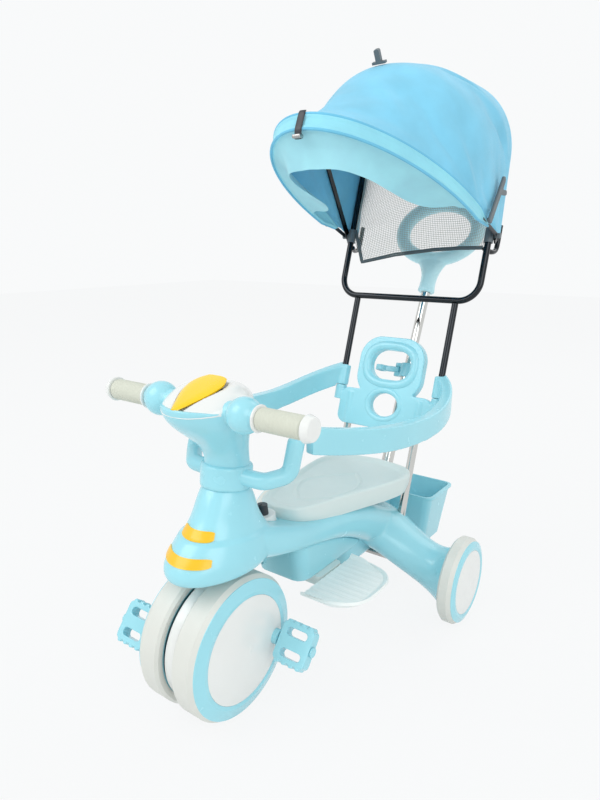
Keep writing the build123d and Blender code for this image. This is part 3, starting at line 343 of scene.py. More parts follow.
def woven(name, colour, threads, sheen, roughness=0.75):
    # threads = how many run across the piece's UV map, each way
    material, tree, shader, coordinates = startMaterial(name)
    weave = []
    for axis, count in zip("XY", threads):
        wave = tree.nodes.new("ShaderNodeTexWave")
        wave.bands_direction = axis
        wave.inputs["Scale"].default_value = count * 2 * pi / cloth["waveBands"]
        wave.inputs["Distortion"].default_value = cloth["waviness"]
        tree.links.new(coordinates.outputs["UV"], wave.inputs["Vector"])
        weave.append(wave.outputs["Fac"])
    place = coordinates.outputs["Object"]
    cloudy = spread(tree, addNoise(tree, place, cloth["cloudScale"], cloth["cloudDetail"]), 0.0, 1.0)
    tint = blended(tree, cloudy, shaded(colour, cloth["tintLow"]), shaded(colour, cloth["tintHigh"]))
    tree.links.new(tint, shader.inputs["Base Color"])
    threadHeight = addMath(tree, "ADD", *weave)
    addBump(tree, shader, threadHeight, cloth["weaveStrength"], cloth["weaveHeight"])
    shader.inputs["Roughness"].default_value = roughness
    shader.inputs["Sheen Weight"].default_value = sheen
    shader.inputs["Sheen Roughness"].default_value = cloth["sheenRoughness"]
    through = tree.nodes.new("ShaderNodeBsdfTranslucent")
    tree.links.new(tint, through.inputs["Color"])
    share = mixShaders(
        tree, shader.outputs["BSDF"], through.outputs["BSDF"], tree.nodes["Material Output"]
    )
    share.default_value = cloth["through"]
    return material


finishes = {
    "blue": moulded("gloss blue plastic", fromSrgb(153, 217, 230), 0.24, coat=0.25),
    # a lighter copy of the blue plastic: painted light that offsets the shade the canopy and its own shadow
    # cast on the push handle
    "handleBluePaintedLight": moulded("handle blue plastic with painted light", fromSrgb(196, 240, 248), 0.28, coat=0.2),
    "paleBlue": moulded("pale blue plastic", fromSrgb(160, 222, 235), 0.28, coat=0.2),
    "ivoryTyre": moulded("ivory tyre", fromSrgb(214, 217, 211), 0.42, grain=420, depth=0.05),
    "white": moulded("white plastic", fromSrgb(228, 231, 229), 0.22, coat=0.3, blotch=0.02),
    "seat": moulded("pale seat plastic", fromSrgb(214, 227, 225), 0.4, blotch=0.012, depth=0),
    "grip": moulded("grip rubber", fromSrgb(204, 208, 194), 0.6, grain=900, depth=0.12),
    "yellow": moulded("yellow plastic", fromSrgb(250, 205, 5), 0.25, coat=0.2),
    "amber": moulded("amber trim", fromSrgb(243, 190, 12), 0.3, coat=0.15),
    "chrome": moulded("chrome tube", fromSrgb(205, 205, 202), 0.09, metallic=1.0, depth=0.01),
    "blackTube": moulded("black tube", fromSrgb(20, 26, 32), 0.14, metallic=0.75, coat=0.4, depth=0.01),
    "grey": moulded("grey plastic", fromSrgb(95, 105, 110), 0.42, grain=520, depth=0.06),
    "dark": moulded("dark plastic", fromSrgb(38, 44, 50), 0.38, grain=520, depth=0.06),
    "steel": moulded("plain steel", fromSrgb(170, 170, 168), 0.28, metallic=1.0, depth=0.04),
    "canopy": woven("canopy cloth", fromSrgb(138, 218, 246), (1150, 500), 0.25),
    "band": woven("band cloth", fromSrgb(158, 234, 253), (1150, 30), 0.25),
    "piping": woven("piping cloth", fromSrgb(120, 206, 238), (1150, 8), 0.25),
    "visor": woven("visor cloth", fromSrgb(176, 238, 252), (900, 120), 0.2),
    "footrest": moulded("pale footrest plastic", fromSrgb(238, 244, 242), 0.4, blotch=0.012, depth=0),
    "net": moulded("net thread", fromSrgb(172, 177, 171), 0.7, grain=1500, depth=0.2),
    "hem": woven("hem tape", fromSrgb(88, 100, 104), (700, 14), 0.3),
}
slotFinish = {
    "blue_plastic": "blue", "pale_blue_plastic": "paleBlue", "ivory_tyre": "ivoryTyre",
    "white_plastic": "white", "seat_plastic": "seat", "grip_rubber": "grip",
    "yellow_plastic": "yellow", "chrome_tube": "chrome", "black_tube": "blackTube",
    "grey_plastic": "grey", "black_plastic": "dark", "steel": "steel",
    "canopy_cloth": "canopy", "net_cloth": "net",
}
nodeSlot = {part["node"]: part["material_slot"] for part in frame["record"]["subparts"]}
for nodeName, node in nodes.items():
    node.data.materials.clear()
    node.data.materials.append(finishes[slotFinish[nodeSlot[nodeName]]])
print("finishes made:", len(finishes))

# moulded pieces: the CAD solids with eased edges
bodyOf = {}
for bodyName, members in frame["record"]["behaviour"]["bodies"].items():
    for member in members:
        bodyOf[member] = bodyName

mouldings = {
    # node: (piece, voxel in mm, smoothing rounds, and how much fuller in mm if at all)
    "belly_tub": ("bellyTub", 2.0, 6),
    "backrest": ("backrestPanel", 1.3, 8),
    "guard_yoke": ("guardYoke", 1.5, 8, 2.6),
    "guard_rail_left": ("guardRailLeft", 1.6, 10),
    "guard_rail_right": ("guardRailRight", 1.6, 10),
    "pod_lower": ("podLower", 1.6, 8),
    "pod_upper": ("podUpper", 1.2, 5),
    "push_handle": ("pushHandle", 1.6, 8, 2.8),
    "pole_clamp": ("poleClamp", 0.9, 4),
    "pole_clamp_lever": ("clampLever", 0.8, 4),
    "pedal_left": ("pedalLeft", 0.9, 4),
    "pedal_right": ("pedalRight", 0.9, 4),
    "grip_caps": ("gripCaps", 0.9, 26),
    "knob_plate": ("knobPlate", 0.7, 4),
    "canopy_stays": ("canopyStays", 0.9, 4),
}
for nodeName, (pieceName, voxel, rounds, *fuller) in mouldings.items():
    piece = copyNode(nodeName, pieceName)
    easeEdges(piece, voxel * mm, rounds)
    smoothShade(piece)
    if fuller:
        applyModifier(piece, "DISPLACE", strength=fuller[0] * mm, mid_level=0.0)
    slotName = nodeSlot[nodeName]
    # the push handle takes the lighter blue, painted light over the shade it sits in
    finish = "handleBluePaintedLight" if nodeName == "push_handle" else slotFinish[slotName]
    dress(piece, finish, bodyOf[nodeName], [nodeName])
print("mouldings eased:", len(mouldings))

# body: one skin with soft hollows where bell, spine and saddle meet
bodySkin = {
    "voxel": 2.2 * mm, "rounds": 14,
    # plugs that close the hollow: radius, and the two ends from the axle or the knob
    "columnPlug": 17 * mm, "columnFoot": 0.112, "columnHead": 0.238,
    "knobPlug": 5 * mm, "knobFoot": 0.09, "knobHead": 0.012,
    # the ledge round the nose, in metres, apart from its slope and the share that goes inward
    "ledge": 0.2835, "ledgeFall": -0.09, "ledgeEase": 0.006, "ledgeRear": -0.235, "ledgeFade": 0.06,
    "ledgeStep": 0.0045, "ledgeInward": 0.4,
}


def steeringAxisAt(z):
    return frontAxle + steerUp * ((z - frontAxle.z) / steerUp.z)


def addPlug(foot, head, radius):
    deselectAll()
    bpy.ops.mesh.primitive_cylinder_add(
        vertices=32, radius=radius, depth=(head - foot).length, location=(foot + head) / 2
    )
    plug = bpy.context.object
    plug.rotation_euler = (head - foot).to_track_quat("Z", "Y").to_euler()
    return plug


def makeBody():
    shell = copyNode("body_shell", "bodySkin")
    knob = Vector(joints["volume_turn"]["pos_m"])
    plugs = [
        addPlug(
            frontAxle + steerUp * bodySkin["columnFoot"], frontAxle + steerUp * bodySkin["columnHead"],
            bodySkin["columnPlug"],
        ),
        addPlug(
            knob - Vector((0, 0, bodySkin["knobFoot"])), knob - Vector((0, 0, bodySkin["knobHead"])),
            bodySkin["knobPlug"],
        ),
    ]
    makeActive(shell)
    for plug in plugs:
        plug.select_set(True)
    bpy.ops.object.join()  # the hollow is closed now, so the remesh keeps only the outside
    easeEdges(shell, bodySkin["voxel"], bodySkin["rounds"])
    for vertex in shell.data.vertices:
        below = bodySkin["ledge"] + bodySkin["ledgeFall"] * (vertex.co.y - frontAxle.y) - vertex.co.z
        step = held(below / bodySkin["ledgeEase"] + 0.5)
        near = held((bodySkin["ledgeRear"] - vertex.co.y) / bodySkin["ledgeFade"])
        out = (vertex.co - steeringAxisAt(vertex.co.z)).normalized()
        vertex.co += out * (bodySkin["ledgeStep"] * (step - bodySkin["ledgeInward"]) * near)
    smoothShade(shell)
    return dress(shell, "blue", "frame", ["body_shell"])


body = makeBody()
print("body skin:", len(body.data.polygons), "faces")

# two amber stripes laid on the nose
stripes = {
    "spans": [(294.5, 6.2, 30), (266.0, 6.0, 32)],  # height and half width in mm, reach in degrees
    "grid": (60, 12), "thick": 1.2, "endTaper": 0.35, "taperPower": 10,
    "lift": 0.7 * mm, "start": 0.16, "missed": 0.05,  # in metres
}


def stripePoint(height, tall, reach):
    def point(u, v):
        turn = radians(reach * (2 * u - 1))
        taper = 1 - stripes["endTaper"] * abs(2 * u - 1) ** stripes["taperPower"]
        z = (height + tall * (2 * v - 1) * taper) * mm
        away = Vector((sin(turn), -cos(turn), 0))
        start = steeringAxisAt(z) + away * stripes["start"]
        found, place = body.ray_cast(start, -away)[:2]
        return (place if found else start - away * stripes["missed"]) + away * stripes["lift"]
    return point


for index, span in enumerate(stripes["spans"]):
    stripe = thinSheet(
        "noseStripe%d" % (index + 1), stripes["grid"], stripePoint(*span), stripes["thick"], 0.0
    )
    dress(stripe, "amber", "frame")

# handlebar: full shoulders and finely ribbed grips
handlebar = {
    "ball": 25, "ballX": 79,
    "grip": 15.6, "gripFrom": 106, "gripTo": 177,
    "gripEdge": 1.2, "gripEdgeWidth": 1.5, "gripRib": 0.25, "gripRibs": 16, "gripGrid": (40, 130),
}
tubeLow, tubeHigh = [Vector(corner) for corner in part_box("handlebar_tube")]
barAxis = (tubeLow + tubeHigh) / 2


def gripPoint(side):
    def point(u, v):
        around = 2 * pi * u
        length = handlebar["gripTo"] - handlebar["gripFrom"]
        edge = min(v, 1 - v) * length
        radius = handlebar["grip"] - handlebar["gripEdge"] * exp(-((edge / handlebar["gripEdgeWidth"]) ** 2))
        radius += handlebar["gripRib"] * sin(v * 2 * pi * handlebar["gripRibs"])
        along = handlebar["gripFrom"] + length * v
        return barAxis + Vector((side * along, radius * cos(around), radius * sin(around))) * mm
    return point


for sideName, side in bothSides:
    deselectAll()
    bpy.ops.mesh.primitive_uv_sphere_add(
        segments=48, ring_count=24, radius=handlebar["ball"] * mm,
        location=barAxis + acrossX * (side * handlebar["ballX"] * mm),
    )
    ball = bpy.context.object
    ball.name = "podShoulder" + sideName
    bpy.ops.object.transform_apply(location=True, rotation=True, scale=True)
    smoothShade(ball)
    dress(ball, "blue", "steering")
    grip = closedBar("grip" + sideName, handlebar["gripGrid"], gripPoint(side))
    dress(grip, "grip", "steering", ["grips"])

# horn: a shield on the pod's sloping top, with a well under it that it sinks into
horn = {
    # width, thick, wellDepth and wellEdge in mm, the other lengths in metres
    "rear": -0.320, "tip": -0.4045, "thick": 3, "proud": 0.0035, "edgeFall": 0.003,
    "grid": (40, 50), "crease": 60,
    "width": [(0, 20), (0.1, 26), (0.25, 29), (0.5, 25), (0.8, 13), (0.95, 6), (1, 3)],
    "slopeRear": -0.318, "slopeFront": -0.403, "slopeDrop": 0.72, "slopePower": 1.2,
    "podFoot": 0.468, "podTop": 0.511,
    "wellDepth": 6.5, "wellEdge": 1.8, "wellFloor": 0.005,
}


def slopeShare(y):
    # how much of the pod's height is left at y, where its top slopes to the front
    run = (horn["slopeRear"] - y) / (horn["slopeRear"] - horn["slopeFront"])
    return 1 - horn["slopeDrop"] * held(run) ** horn["slopePower"]


def shieldWell(x, y):
    # depth of the well under the shield, full inside its outline
    span = horn["tip"] - horn["rear"]
    v = (y - horn["rear"]) / span
    half = curveThrough(horn["width"], held(v))
    beyond = max(abs(x) / mm - half, max(-v, v - 1) * abs(span) / mm)
    return horn["wellDepth"] * mm * held(1 - beyond / horn["wellEdge"])


def shieldPoint(u, v):
    y = horn["rear"] + (horn["tip"] - horn["rear"]) * v
    half = curveThrough(horn["width"], v)
    z = horn["podFoot"] + (horn["podTop"] - horn["podFoot"]) * slopeShare(y)
    z += horn["proud"] - horn["edgeFall"] * (2 * u - 1) ** 4
    return Vector((half * (2 * u - 1) * mm, y, z))


for vertex in bpy.data.objects["podUpper"].data.vertices:
    foot = horn["podFoot"]
    if vertex.co.z > foot:
        vertex.co.z = foot + (vertex.co.z - foot) * slopeShare(vertex.co.y)
        deepest = max(vertex.co.z - foot - horn["wellFloor"], 0)
        vertex.co.z -= min(shieldWell(vertex.co.x, vertex.co.y), deepest)
shield = thinSheet("hornShield", horn["grid"], shieldPoint, horn["thick"], -1.0, horn["crease"])
dress(shield, "yellow", "horn", ["horn_button"])
print("handlebar made")

# seat: a dished teardrop with a rolled rim and a plain leaf panel
seatPan = {
    # front, rear and leafMiddle in metres, fall in degrees, the other lengths in mm
    "front": -0.1955, "rear": 0.165, "level": 270.0, "fall": 3.5, "grid": (220, 110),
    "outline": [
        (0, 0), (0.015, 24), (0.05, 40), (0.15, 54), (0.3, 64), (0.5, 81), (0.68, 95),
        (0.8, 98), (0.9, 87), (0.965, 60), (1, 0),
    ],
    "section": [
        # share from the middle to the underside, share of the outline, height in mm
        (0, 0, -8), (0.4, 0.45, -6.8), (0.7, 0.84, -1.5), (0.76, 0.90, 2.5), (0.80, 0.945, 4.5),
        (0.84, 0.98, 3.4), (0.88, 1.0, 0.0), (0.94, 0.99, -16), (1, 0.95, -32),
    ],
    "leafMiddle": -0.03, "leafHalf": 98, "leafWidth": 50, "leafRise": 2.4,
    "leafLine": 2.4, "leafPoint": 0.9, "leafUntil": 0.75,
}


def seatPoint(u, v):
    middle = (seatPan["front"] + seatPan["rear"]) / 2
    half = (seatPan["rear"] - seatPan["front"]) / 2
    share = (1 - cos(2 * pi * u)) / 2
    side = 1 if u < 0.5 else -1
    out, lift = rowAt(seatPan["section"], v)
    x = side * curveThrough(seatPan["outline"], share) * out
    y = middle + half * (2 * share - 1) * out
    if v < seatPan["leafUntil"]:
        along = (y - seatPan["leafMiddle"]) / (seatPan["leafHalf"] * mm)
        margin = abs(x) - seatPan["leafWidth"] * (1 - along * along)
        margin /= 1 + seatPan["leafPoint"] * abs(along)
        lift += seatPan["leafRise"] * exp(-((margin / seatPan["leafLine"]) ** 2))
    tilt = sin(radians(seatPan["fall"])) * (y - seatPan["front"]) / mm
    return Vector((x * mm, y, (seatPan["level"] - tilt + lift) * mm))


seat = closedBar("seatPan", seatPan["grid"], seatPoint)
dress(seat, "seat", "frame", ["seat"])

# footrests: ribbed trays with a raised rim
footrest = {
    # front and rear in metres, the other lengths in mm
    "hinge": 66, "reach": 101, "front": -0.212, "rear": -0.052, "top": 134.5, "thick": 5,
    "grid": (70, 150),
    "roundPower": 3.2, "roundRoot": 0.42,  # how full the outer corners are
    "rim": 6, "rimWidth": 5.5, "halfLength": 80,
    "ribs": 11, "ribRise": 0.9, "ribInset": 12, "ribFade": 4,
}


def trayPoint(side):
    def point(u, v):
        along = abs(2 * v - 1)
        reach = footrest["reach"] * (1 - along ** footrest["roundPower"]) ** footrest["roundRoot"]
        x = footrest["hinge"] + reach * u
        y = footrest["front"] + (footrest["rear"] - footrest["front"]) * v
        inside = min((1 - u) * footrest["reach"], (1 - along) * footrest["halfLength"])
        rise = footrest["rim"] * exp(-((inside / footrest["rimWidth"]) ** 2))
        flat = held((inside - footrest["ribInset"]) / footrest["ribFade"])
        rise += flat * footrest["ribRise"] * max(0, sin(v * 2 * pi * footrest["ribs"]))
        return Vector((side * x * mm, y, (footrest["top"] + rise) * mm))
    return point


for sideName, side in bothSides:
    bodyName = sideName.lower() + "_footrest"
    tray = shapedGrid("footrestTray" + sideName, footrest["grid"], trayPoint(side))
    mergeAndRecalculate(tray, "sheet")
    applyModifier(tray, "SOLIDIFY", thickness=footrest["thick"] * mm, offset=-1.0 * side)
    mergeAndRecalculate(tray, "sheet")
    smoothShade(tray, sheetCrease)
    dress(tray, "footrest", bodyName, ["footrest_" + sideName.lower()])
print("seat and footrests made")

# rear of the belly, and the rims round the backrest's holes
bellyRear = {
    "middle": (0, 0.020, 0.142), "size": (0.088, 0.104, 0.092), "round": 0.012, "roundSteps": 5,
}
bellyBox = bevelledBox(
    "bellyRear", bellyRear["middle"], bellyRear["size"], bellyRear["round"], bellyRear["roundSteps"]
)
dress(bellyBox, "blue", "frame")

rims = {
    # half width, half height, corner power, middle up the leaning plane, bar radius
    "backrestRimUpper": (55, 41, 2.6, 8, 9.5),
    "backrestRimLower": (38, 31, 2.0, -76, 7.0),
}
rimForward = 5  # from the leaning plane to the middle of a rim, in mm
rimGrid = (20, 96)
leanStart = 0.025  # from the guard's hinge up the leaning plane to where heights start, in metres
leanFoot = Vector(joints["left_guard_swing"]["pos_m"]) + leanUp * leanStart
leanFoot.x = 0


def onLean(x, up, forward=0):
    return leanFoot + acrossX * (x * mm) + leanUp * (up * mm) + leanFace * (forward * mm)


def rimPoint(half, tall, power, middle, radius):
    def point(u, v):
        turn = 2 * pi * v
        shape = (abs(cos(turn)) ** power + abs(sin(turn)) ** power) ** (-1 / power)
        inward = radius * cos(2 * pi * u)
        x, up = (half + inward) * shape * cos(turn), (tall + inward) * shape * sin(turn)
        return onLean(x, middle + up, rimForward + radius * sin(2 * pi * u))
    return point


for name, numbers in rims.items():
    rim = shapedGrid(name, rimGrid, rimPoint(*numbers))
    mergeAndRecalculate(rim, "bar")
    smoothShade(rim)
    dress(rim, "blue", "frame")

# canopy cover: two sewn panels over the bows
canopy = {
    "sections": [
        # v, angle above forward level, shift back, half width, shoulder, reach, foot
        (0.00, 24.2, 0, 168.5, 100, 431, 52),
        (0.08, 27.5, 0, 168.5, 104, 400, 44),
        (0.17, 32.0, 0, 169, 112, 372, 34),
        (0.32, 43.0, 0, 170, 135, 342, 12),
        (0.42, 51.0, 0, 170.5, 155, 337, 6),
        (0.50, 59.0, 2, 171, 165, 337, 2),
        (0.60, 68.0, 6, 170, 165, 323, 0),
        (0.75, 81.0, 16, 167, 160, 309, -2),
        (0.88, 92.0, 29, 165, 156, 312, -5),
        (1.00, 100.5, 39, 164, 152, 319, -6),
    ],
    "leg": 0.17,  # share of the width that each straight side takes
    "lean": -10,  # the slack hoop hangs a little towards the far side, in mm
    "grid": (150, 44), "thick": 1.3, "seam": 0.5,
    "folds": [
        # centre u and v, lean, width, reach along v, height in mm
        (0.60, 0.66, 0.55, 0.022, 0.13, 4.5),
        (0.66, 0.72, 0.75, 0.018, 0.12, -4.0),
        (0.73, 0.76, 0.60, 0.024, 0.14, 4.5),
        (0.80, 0.80, 0.35, 0.020, 0.12, -3.5),
        (0.52, 0.76, 0.25, 0.020, 0.12, 3.5),
        (0.42, 0.70, -0.40, 0.024, 0.13, 4.0),
        (0.33, 0.76, -0.55, 0.022, 0.13, -3.5),
        (0.24, 0.74, -0.45, 0.024, 0.13, 3.5),
        (0.58, 0.30, -0.45, 0.018, 0.09, 3.0),
        (0.68, 0.28, -0.60, 0.022, 0.10, -3.0),
        (0.47, 0.27, -0.20, 0.020, 0.09, 3.0),
        (0.36, 0.28, 0.35, 0.022, 0.10, -3.0),
        (0.77, 0.24, -0.40, 0.024, 0.10, 3.0),
    ],
    "foldDepth": 1.7, "ruffle": 3.0, "ruffleCounts": (11, 9), "seed": 4.2,
}


def bowUp(angle):
    return Vector((0, -cos(radians(angle)), sin(radians(angle))))


def archPoint(u, leg, half, shoulder, reach, foot):
    # u runs up one straight side, over an elliptical crown and down the other side
    if u < leg:
        return -half, foot + (shoulder - foot) * u / leg, pi
    if u > 1 - leg:
        return half, foot + (shoulder - foot) * (1 - u) / leg, 0
    turn = pi * (1 - (u - leg) / (1 - 2 * leg))
    return half * cos(turn), shoulder + (reach - shoulder) * sin(turn), turn


def coverLift(u, v):
    # folds and ruffles, which die out at the seam and at both ends
    seam = canopy["seam"]
    lift = 0
    for centreU, centreV, lean, width, length, height in canopy["folds"]:
        off = (u - centreU) - lean * (v - centreV)
        lift += canopy["foldDepth"] * height * exp(-((off / width) ** 2) - ((v - centreV) / length) ** 2)
    across, along = canopy["ruffleCounts"]
    lift += canopy["ruffle"] * noise.noise(Vector((u * across, v * along, canopy["seed"])))
    return lift * sin(pi * (v / seam if v < seam else (v - seam) / (1 - seam)))


def coverPoint(u, v):
    angle, shift, half, shoulder, reach, foot = rowAt(canopy["sections"], v)
    x, up, turn = archPoint(u, canopy["leg"], half, shoulder, reach, foot)
    lift = coverLift(u, v)
    x += cos(turn) * lift + canopy["lean"] * max(up, 0) / reach * max(0, 1 - v / canopy["seam"])
    up += sin(turn) * lift
    return canopyPivot + Vector((0, shift * mm, 0)) + acrossX * (x * mm) + bowUp(angle) * (up * mm)


def coverPanel(name, start, end):
    return thinSheet(
        name, canopy["grid"], lambda u, v: coverPoint(u, start + (end - start) * v),
        canopy["thick"], -1.0,
    )


frontPanel = coverPanel("canopyCoverFront", 0, canopy["seam"])
rearPanel = coverPanel("canopyCoverRear", canopy["seam"], 1)
dress(frontPanel, "canopy")
dress(rearPanel, "canopy", None, ["canopy_cover"])
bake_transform(frontPanel)
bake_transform(rearPanel)

# front band: a cloth sleeve round the front bow, rolled and piped at both edges
band = {
    "angle": 22.5, "leg": 0.1, "half": 167, "shoulder": 100, "reach": 430, "foot": 50,
    "halfBand": 12.5, "footHalf": 2.5, "footSpread": 0.2,
    "thick": 2.6, "rollRise": 1.6, "rollWidth": 3.2, "squareness": 3, "grid": (40, 160),
    "pipe": 2.3, "pipeOut": 2.6, "pipeSteps": 160,
}
bandUp = bowUp(band["angle"])
bandDown = acrossX.cross(bandUp)  # out of the bow's plane, towards the ground


def hoopPoint(u):
    # u from one foot round the hoop to the other; returns place and outward direction
    x, up, turn = archPoint(u, band["leg"], band["half"], band["shoulder"], band["reach"], band["foot"])
    outX, outUp = cos(turn) / band["half"], sin(turn) / (band["reach"] - band["shoulder"])
    length = hypot(outX, outUp)
    return x, up, outX / length, outUp / length


def inBow(x, up, below):
    x += canopy["lean"] * max(up, 0) / band["reach"]
    return canopyPivot + acrossX * (x * mm) + bandUp * (up * mm) + bandDown * (below * mm)


def halfBandAt(up):
    # the band narrows to its feet, so that it folds clear of the middle bow
    return min(band["halfBand"], band["footHalf"] + (up - band["foot"]) * band["footSpread"])


def bandPoint(u, v):
    x, up, outX, outUp = hoopPoint(v)
    around = 2 * pi * u
    half = halfBandAt(up)
    below = half * cos(around)
    rolled = 2 * band["rollWidth"]
    edge = held((abs(below) - half + rolled) / rolled)
    thick = band["thick"] + band["rollRise"] * sin(pi * edge)
    out = thick * held(sin(around) * band["squareness"], -1, 1)
    return inBow(x + outX * out, up + outUp * out, below)


def pipingPath(side):
    def path(v):
        x, up, outX, outUp = hoopPoint(v)
        out = band["pipeOut"]
        return inBow(x + outX * out, up + outUp * out, side * halfBandAt(up))
    return path


frontBand = closedBar("canopyFrontBand", band["grid"], bandPoint)
dress(frontBand, "band", "canopy_front", ["front_bow"])
for name, side in (("bandPipingUpper", -1), ("bandPipingLower", 1)):
    piping = roundBar(name, band["pipe"], band["pipeSteps"], pipingPath(side))
    dress(piping, "piping", "canopy_front")

# strap over the band, with its buckle
strap = {
    "at": 0.505, "wide": 13, "thick": 2.2, "out": 5.2, "from": -17, "to": 27, "grid": (16, 20),
    "tuck": 5, "tuckFrom": 14, "tuckOver": 12,  # its ends bend in past the band's edges
    "buckle": (15, 11, 6), "buckleOut": 2, "buckleBelow": 24, "buckleRound": 1.6, "buckleSteps": 3,
}
strapX, strapUp, strapOutX, strapOutUp = hoopPoint(strap["at"])


def strapPoint(u, v):
    around = 2 * pi * u
    below = strap["from"] + (strap["to"] - strap["from"]) * v
    tuck = strap["tuck"] * max(0, abs(below) - strap["tuckFrom"]) / strap["tuckOver"]
    out = strap["out"] - tuck + strap["thick"] / 2 * sin(around)
    across = strap["wide"] / 2 * cos(around)
    x = strapX + strapOutX * out + strapOutUp * across
    up = strapUp + strapOutUp * out - strapOutX * across
    return inBow(x, up, below)


strapBand = closedBar("hoopStrap", strap["grid"], strapPoint)
dress(strapBand, "dark", "canopy_front", ["hoop_strap"])
buckle = bevelledBox(
    "strapBuckle", inBow(strapX, strapUp + strap["buckleOut"], strap["buckleBelow"]),
    [size * mm for size in strap["buckle"]], strap["buckleRound"] * mm, strap["buckleSteps"],
)
dress(buckle, "steel", "canopy_front")

# flat bars that carry the hoop's feet on the pivots
hoopBar = {"wide": 9, "thick": 2.6, "out": 172, "inward": 3, "from": -12, "to": 78, "grid": (16, 12)}


def barPoint(side):
    def point(u, v):
        around = 2 * pi * u
        x = hoopBar["out"] - hoopBar["inward"] * v + hoopBar["thick"] * sin(around) / 2
        up = hoopBar["from"] + (hoopBar["to"] - hoopBar["from"]) * v
        return inBow(side * x, up, hoopBar["wide"] / 2 * cos(around))
    return point


for sideName, side in bothSides:
    bar = closedBar("hoopBar" + sideName, hoopBar["grid"], barPoint(side))
    dress(bar, "dark", "canopy_front")

# visor: a cloth lip that droops from the band's lower edge, widest along its sides
visor = {
    "edge": [
        # share of the half, across, up and below the bow's plane
        (0.00, 0, 384, 52), (0.18, 48, 372, 50), (0.36, 72, 326, 43), (0.54, 80, 268, 35),
        (0.72, 87, 208, 26), (0.86, 108, 172, 20), (1.00, 148, 158, 12.4),
    ],
    "outerTurn": 82, "inset": 2.5, "lap": 1, "droop": 4.2, "thick": 1.2,
    "ripple": 1.5, "rippleCounts": (9, 3), "seed": 1.7, "grid": (110, 16),
}


def visorPoint(u, v):
    side = 1 if u >= 0.5 else -1
    share = abs(u - 0.5) * 2
    turn = radians(visor["outerTurn"]) * share
    half, crown = band["half"] - visor["inset"], band["reach"] - band["shoulder"] - visor["inset"]
    outer = Vector((
        half * sin(turn), band["shoulder"] + crown * cos(turn), band["halfBand"] - visor["lap"],
    ))
    at = outer.lerp(Vector(rowAt(visor["edge"], share)), v)
    sag = visor["droop"] * sin(pi * v) * (1 - share ** 4)
    across, along = visor["rippleCounts"]
    wave = noise.noise(Vector((u * across, v * along, visor["seed"])))
    ripple = visor["ripple"] * wave * sin(pi * v)
    return inBow(side * at.x, at.y, at.z - sag + ripple)


visorLip = thinSheet("canopyVisor", visor["grid"], visorPoint, visor["thick"], 0.0)
dress(visorLip, "visor", "canopy_front", ["canopy_visor"])
print("canopy cloth made")

# net curtain: real threads inside the loop, with a bound lower edge
net = {
    "sideX": 149, "arch": 444, "radius": 149, "edge": 0.5, "grid": (74, 84), "thread": 1.2,
    "hem": [(-149, 297), (-118, 226), (-40, 243), (42, 254), (100, 258), (147, 259)],
    "hemWidth": 8, "hemThick": 1.6, "hemStep": 0.01, "hemRuffleAt": 0.125, "hemGrid": (16, 80),
    "gather": 0.22,  # share of the height over which the net widens from its lower edge
    "belly": 3, "ruffle": 2, "ruffleCount": 4, "seed": 0.6,
}


def netRuffle(u, v):
    count = net["ruffleCount"]
    return net["ruffle"] * noise.noise(Vector((u * count, v * count, net["seed"])))


def netPoint(u, v):
    lowStops = net["hem"][1:]
    lowX = lowStops[0][0] + (lowStops[-1][0] - lowStops[0][0]) * u
    lowUp = lineThrough(lowStops, lowX)
    topX = net["sideX"] * (2 * u - 1)
    topUp = net["arch"] + (net["radius"] ** 2 - min(abs(topX), net["radius"] - net["edge"]) ** 2) ** 0.5
    x = lowX + (topX - lowX) * min(v / net["gather"], 1)
    back = net["belly"] * sin(pi * v) * sin(pi * u) + netRuffle(u, v)
    return onLean(x, lowUp + (topUp - lowUp) * v, -back)


def hemPlace(v):
    count = len(net["hem"]) - 1
    return [lineThrough([(i / count, stop[k]) for i, stop in enumerate(net["hem"])], v) for k in (0, 1)]


def hemPoint(u, v):
    around = 2 * pi * u
    x, up = hemPlace(v)
    nextX, nextUp = hemPlace(min(v + net["hemStep"], 1))
    lastX, lastUp = hemPlace(max(v - net["hemStep"], 0))
    length = hypot(nextX - lastX, nextUp - lastUp)
    offset = net["hemWidth"] / 2 * cos(around) / length
    forward = net["hemThick"] / 2 * sin(around) - netRuffle(net["hemRuffleAt"], 0)
    return onLean(x - (nextUp - lastUp) * offset, up + (nextX - lastX) * offset, forward)


netSheet = shapedGrid("netCurtain", net["grid"], netPoint)
applyModifier(
    netSheet, "WIREFRAME", thickness=net["thread"] * mm, use_replace=True, use_even_offset=False,
    use_boundary=True,
)
smoothShade(netSheet)
dress(netSheet, "net", "frame", ["mesh_curtain"])
netHem = closedBar("netHem", net["hemGrid"], hemPoint)
dress(netHem, "hem", "frame")
print("net made")

# rear hooks: bent tubes behind the stand, on both sides
hooks = {
    "radius": 5, "steps": 40,
    "path": [
        # share of the length, across, up and forward of the leaning plane
        (0, 150, 258, -2), (0.3, 157, 258, -24), (0.55, 159, 270, -42), (1, 159, 318, -44),
    ],
}


def hookPath(side):
    def path(v):
        x, up, forward = rowAt(hooks["path"], v)
        return onLean(side * x, up, forward)
    return path


for sideName, side in bothSides:
    hook = roundBar("rearHook" + sideName, hooks["radius"], hooks["steps"], hookPath(side))
    dress(hook, "blackTube", "frame")
print("hooks made")

# stage, light and camera
stage = {
    "floorSize": 16, "floorDrop": -0.0004, "floorWhite": 0.86, "floorGlow": 0.93,
    "backdrop": (0.945, 0.955, 0.96), "skyStrength": 0.95, "lampsLookAt": (0, 0, 0.45),
    "lamps": [
        # place, size, watts
        ((-1.4, -2.2, 2.6), 2.2, 40),
        ((2.4, -1.6, 2.0), 2.0, 26),
        ((0.4, 2.2, 2.6), 2.0, 16),
    ],
    "camera": ((0.5883, -0.92885, 0.6921), (75.7, 0, 36.1), 27.68),
}


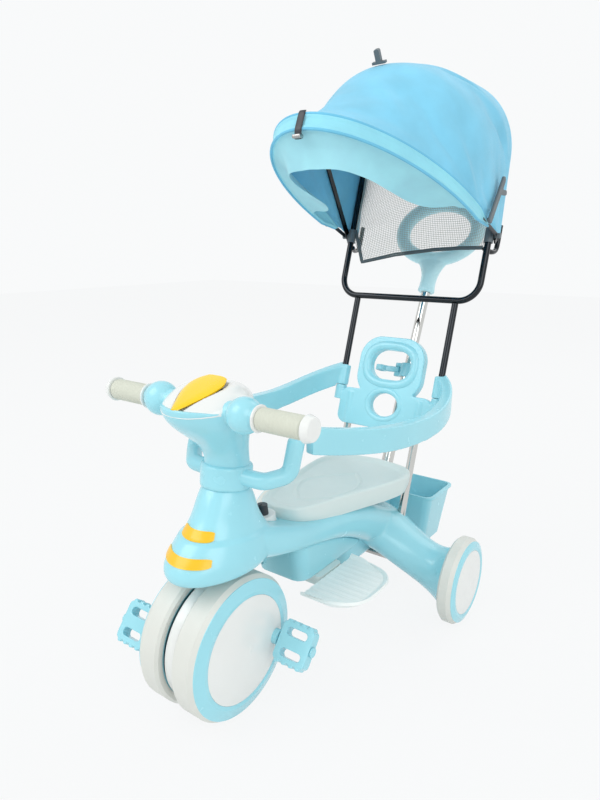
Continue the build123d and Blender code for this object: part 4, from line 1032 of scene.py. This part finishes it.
def seenRays(tree):
    # one for rays that the camera, gloss or clear things send out
    light = tree.nodes.new("ShaderNodeLightPath")
    total = light.outputs["Is Camera Ray"]
    for name in ("Is Glossy Ray", "Is Transmission Ray"):
        total = addMath(tree, "MAXIMUM", total, light.outputs[name])
    return total


def makeFloor():
    deselectAll()
    bpy.ops.mesh.primitive_plane_add(size=stage["floorSize"], location=(0, 0, stage["floorDrop"]))
    floor = bpy.context.object
    floor.name = "floor"
    material = bpy.data.materials.new("floor white")
    material.use_nodes = True
    tree = material.node_tree
    tree.nodes.clear()
    output = tree.nodes.new("ShaderNodeOutputMaterial")
    matt = tree.nodes.new("ShaderNodeBsdfDiffuse")
    matt.inputs["Color"].default_value = [stage["floorWhite"]] * 3 + [1]
    glow = tree.nodes.new("ShaderNodeEmission")
    glow.inputs["Color"].default_value = list(stage["backdrop"]) + [1]
    share = tree.nodes.new("ShaderNodeMath")
    share.operation = "MULTIPLY"
    share.inputs[1].default_value = stage["floorGlow"]
    tree.links.new(seenRays(tree), share.inputs[0])
    mixShare = mixShaders(tree, matt.outputs["BSDF"], glow.outputs["Emission"], output)
    tree.links.new(share.outputs["Value"], mixShare)
    floor.data.materials.append(material)


def makeSky():
    world = bpy.data.worlds.new("studio")
    scene.world = world
    world.use_nodes = True
    tree = world.node_tree
    tree.nodes.clear()
    output = tree.nodes.new("ShaderNodeOutputWorld")
    soft = tree.nodes.new("ShaderNodeBackground")
    soft.inputs["Strength"].default_value = stage["skyStrength"]
    seen = tree.nodes.new("ShaderNodeBackground")
    seen.inputs["Color"].default_value = list(stage["backdrop"]) + [1]
    mixShare = mixShaders(tree, soft.outputs["Background"], seen.outputs["Background"], output)
    tree.links.new(seenRays(tree), mixShare)


def makeLamps():
    for index, (place, size, watts) in enumerate(stage["lamps"]):
        lamp = bpy.data.lights.new("softbox%d" % index, "AREA")
        lamp.size = size
        lamp.energy = watts
        holder = bpy.data.objects.new(lamp.name, lamp)
        holder.location = place
        way = Vector(stage["lampsLookAt"]) - Vector(place)
        holder.rotation_euler = way.to_track_quat("-Z", "Y").to_euler()
        scene.collection.objects.link(holder)


def makeCamera():
    place, turn, lens = stage["camera"]
    camera = bpy.data.cameras.new("view")
    camera.lens = lens
    holder = bpy.data.objects.new("view", camera)
    holder.location = place
    holder.rotation_euler = [radians(angle) for angle in turn]
    scene.collection.objects.link(holder)
    scene.camera = holder
    scene.view_settings.view_transform = "Standard"


makeFloor()
makeSky()
makeLamps()
makeCamera()
print("stage set")
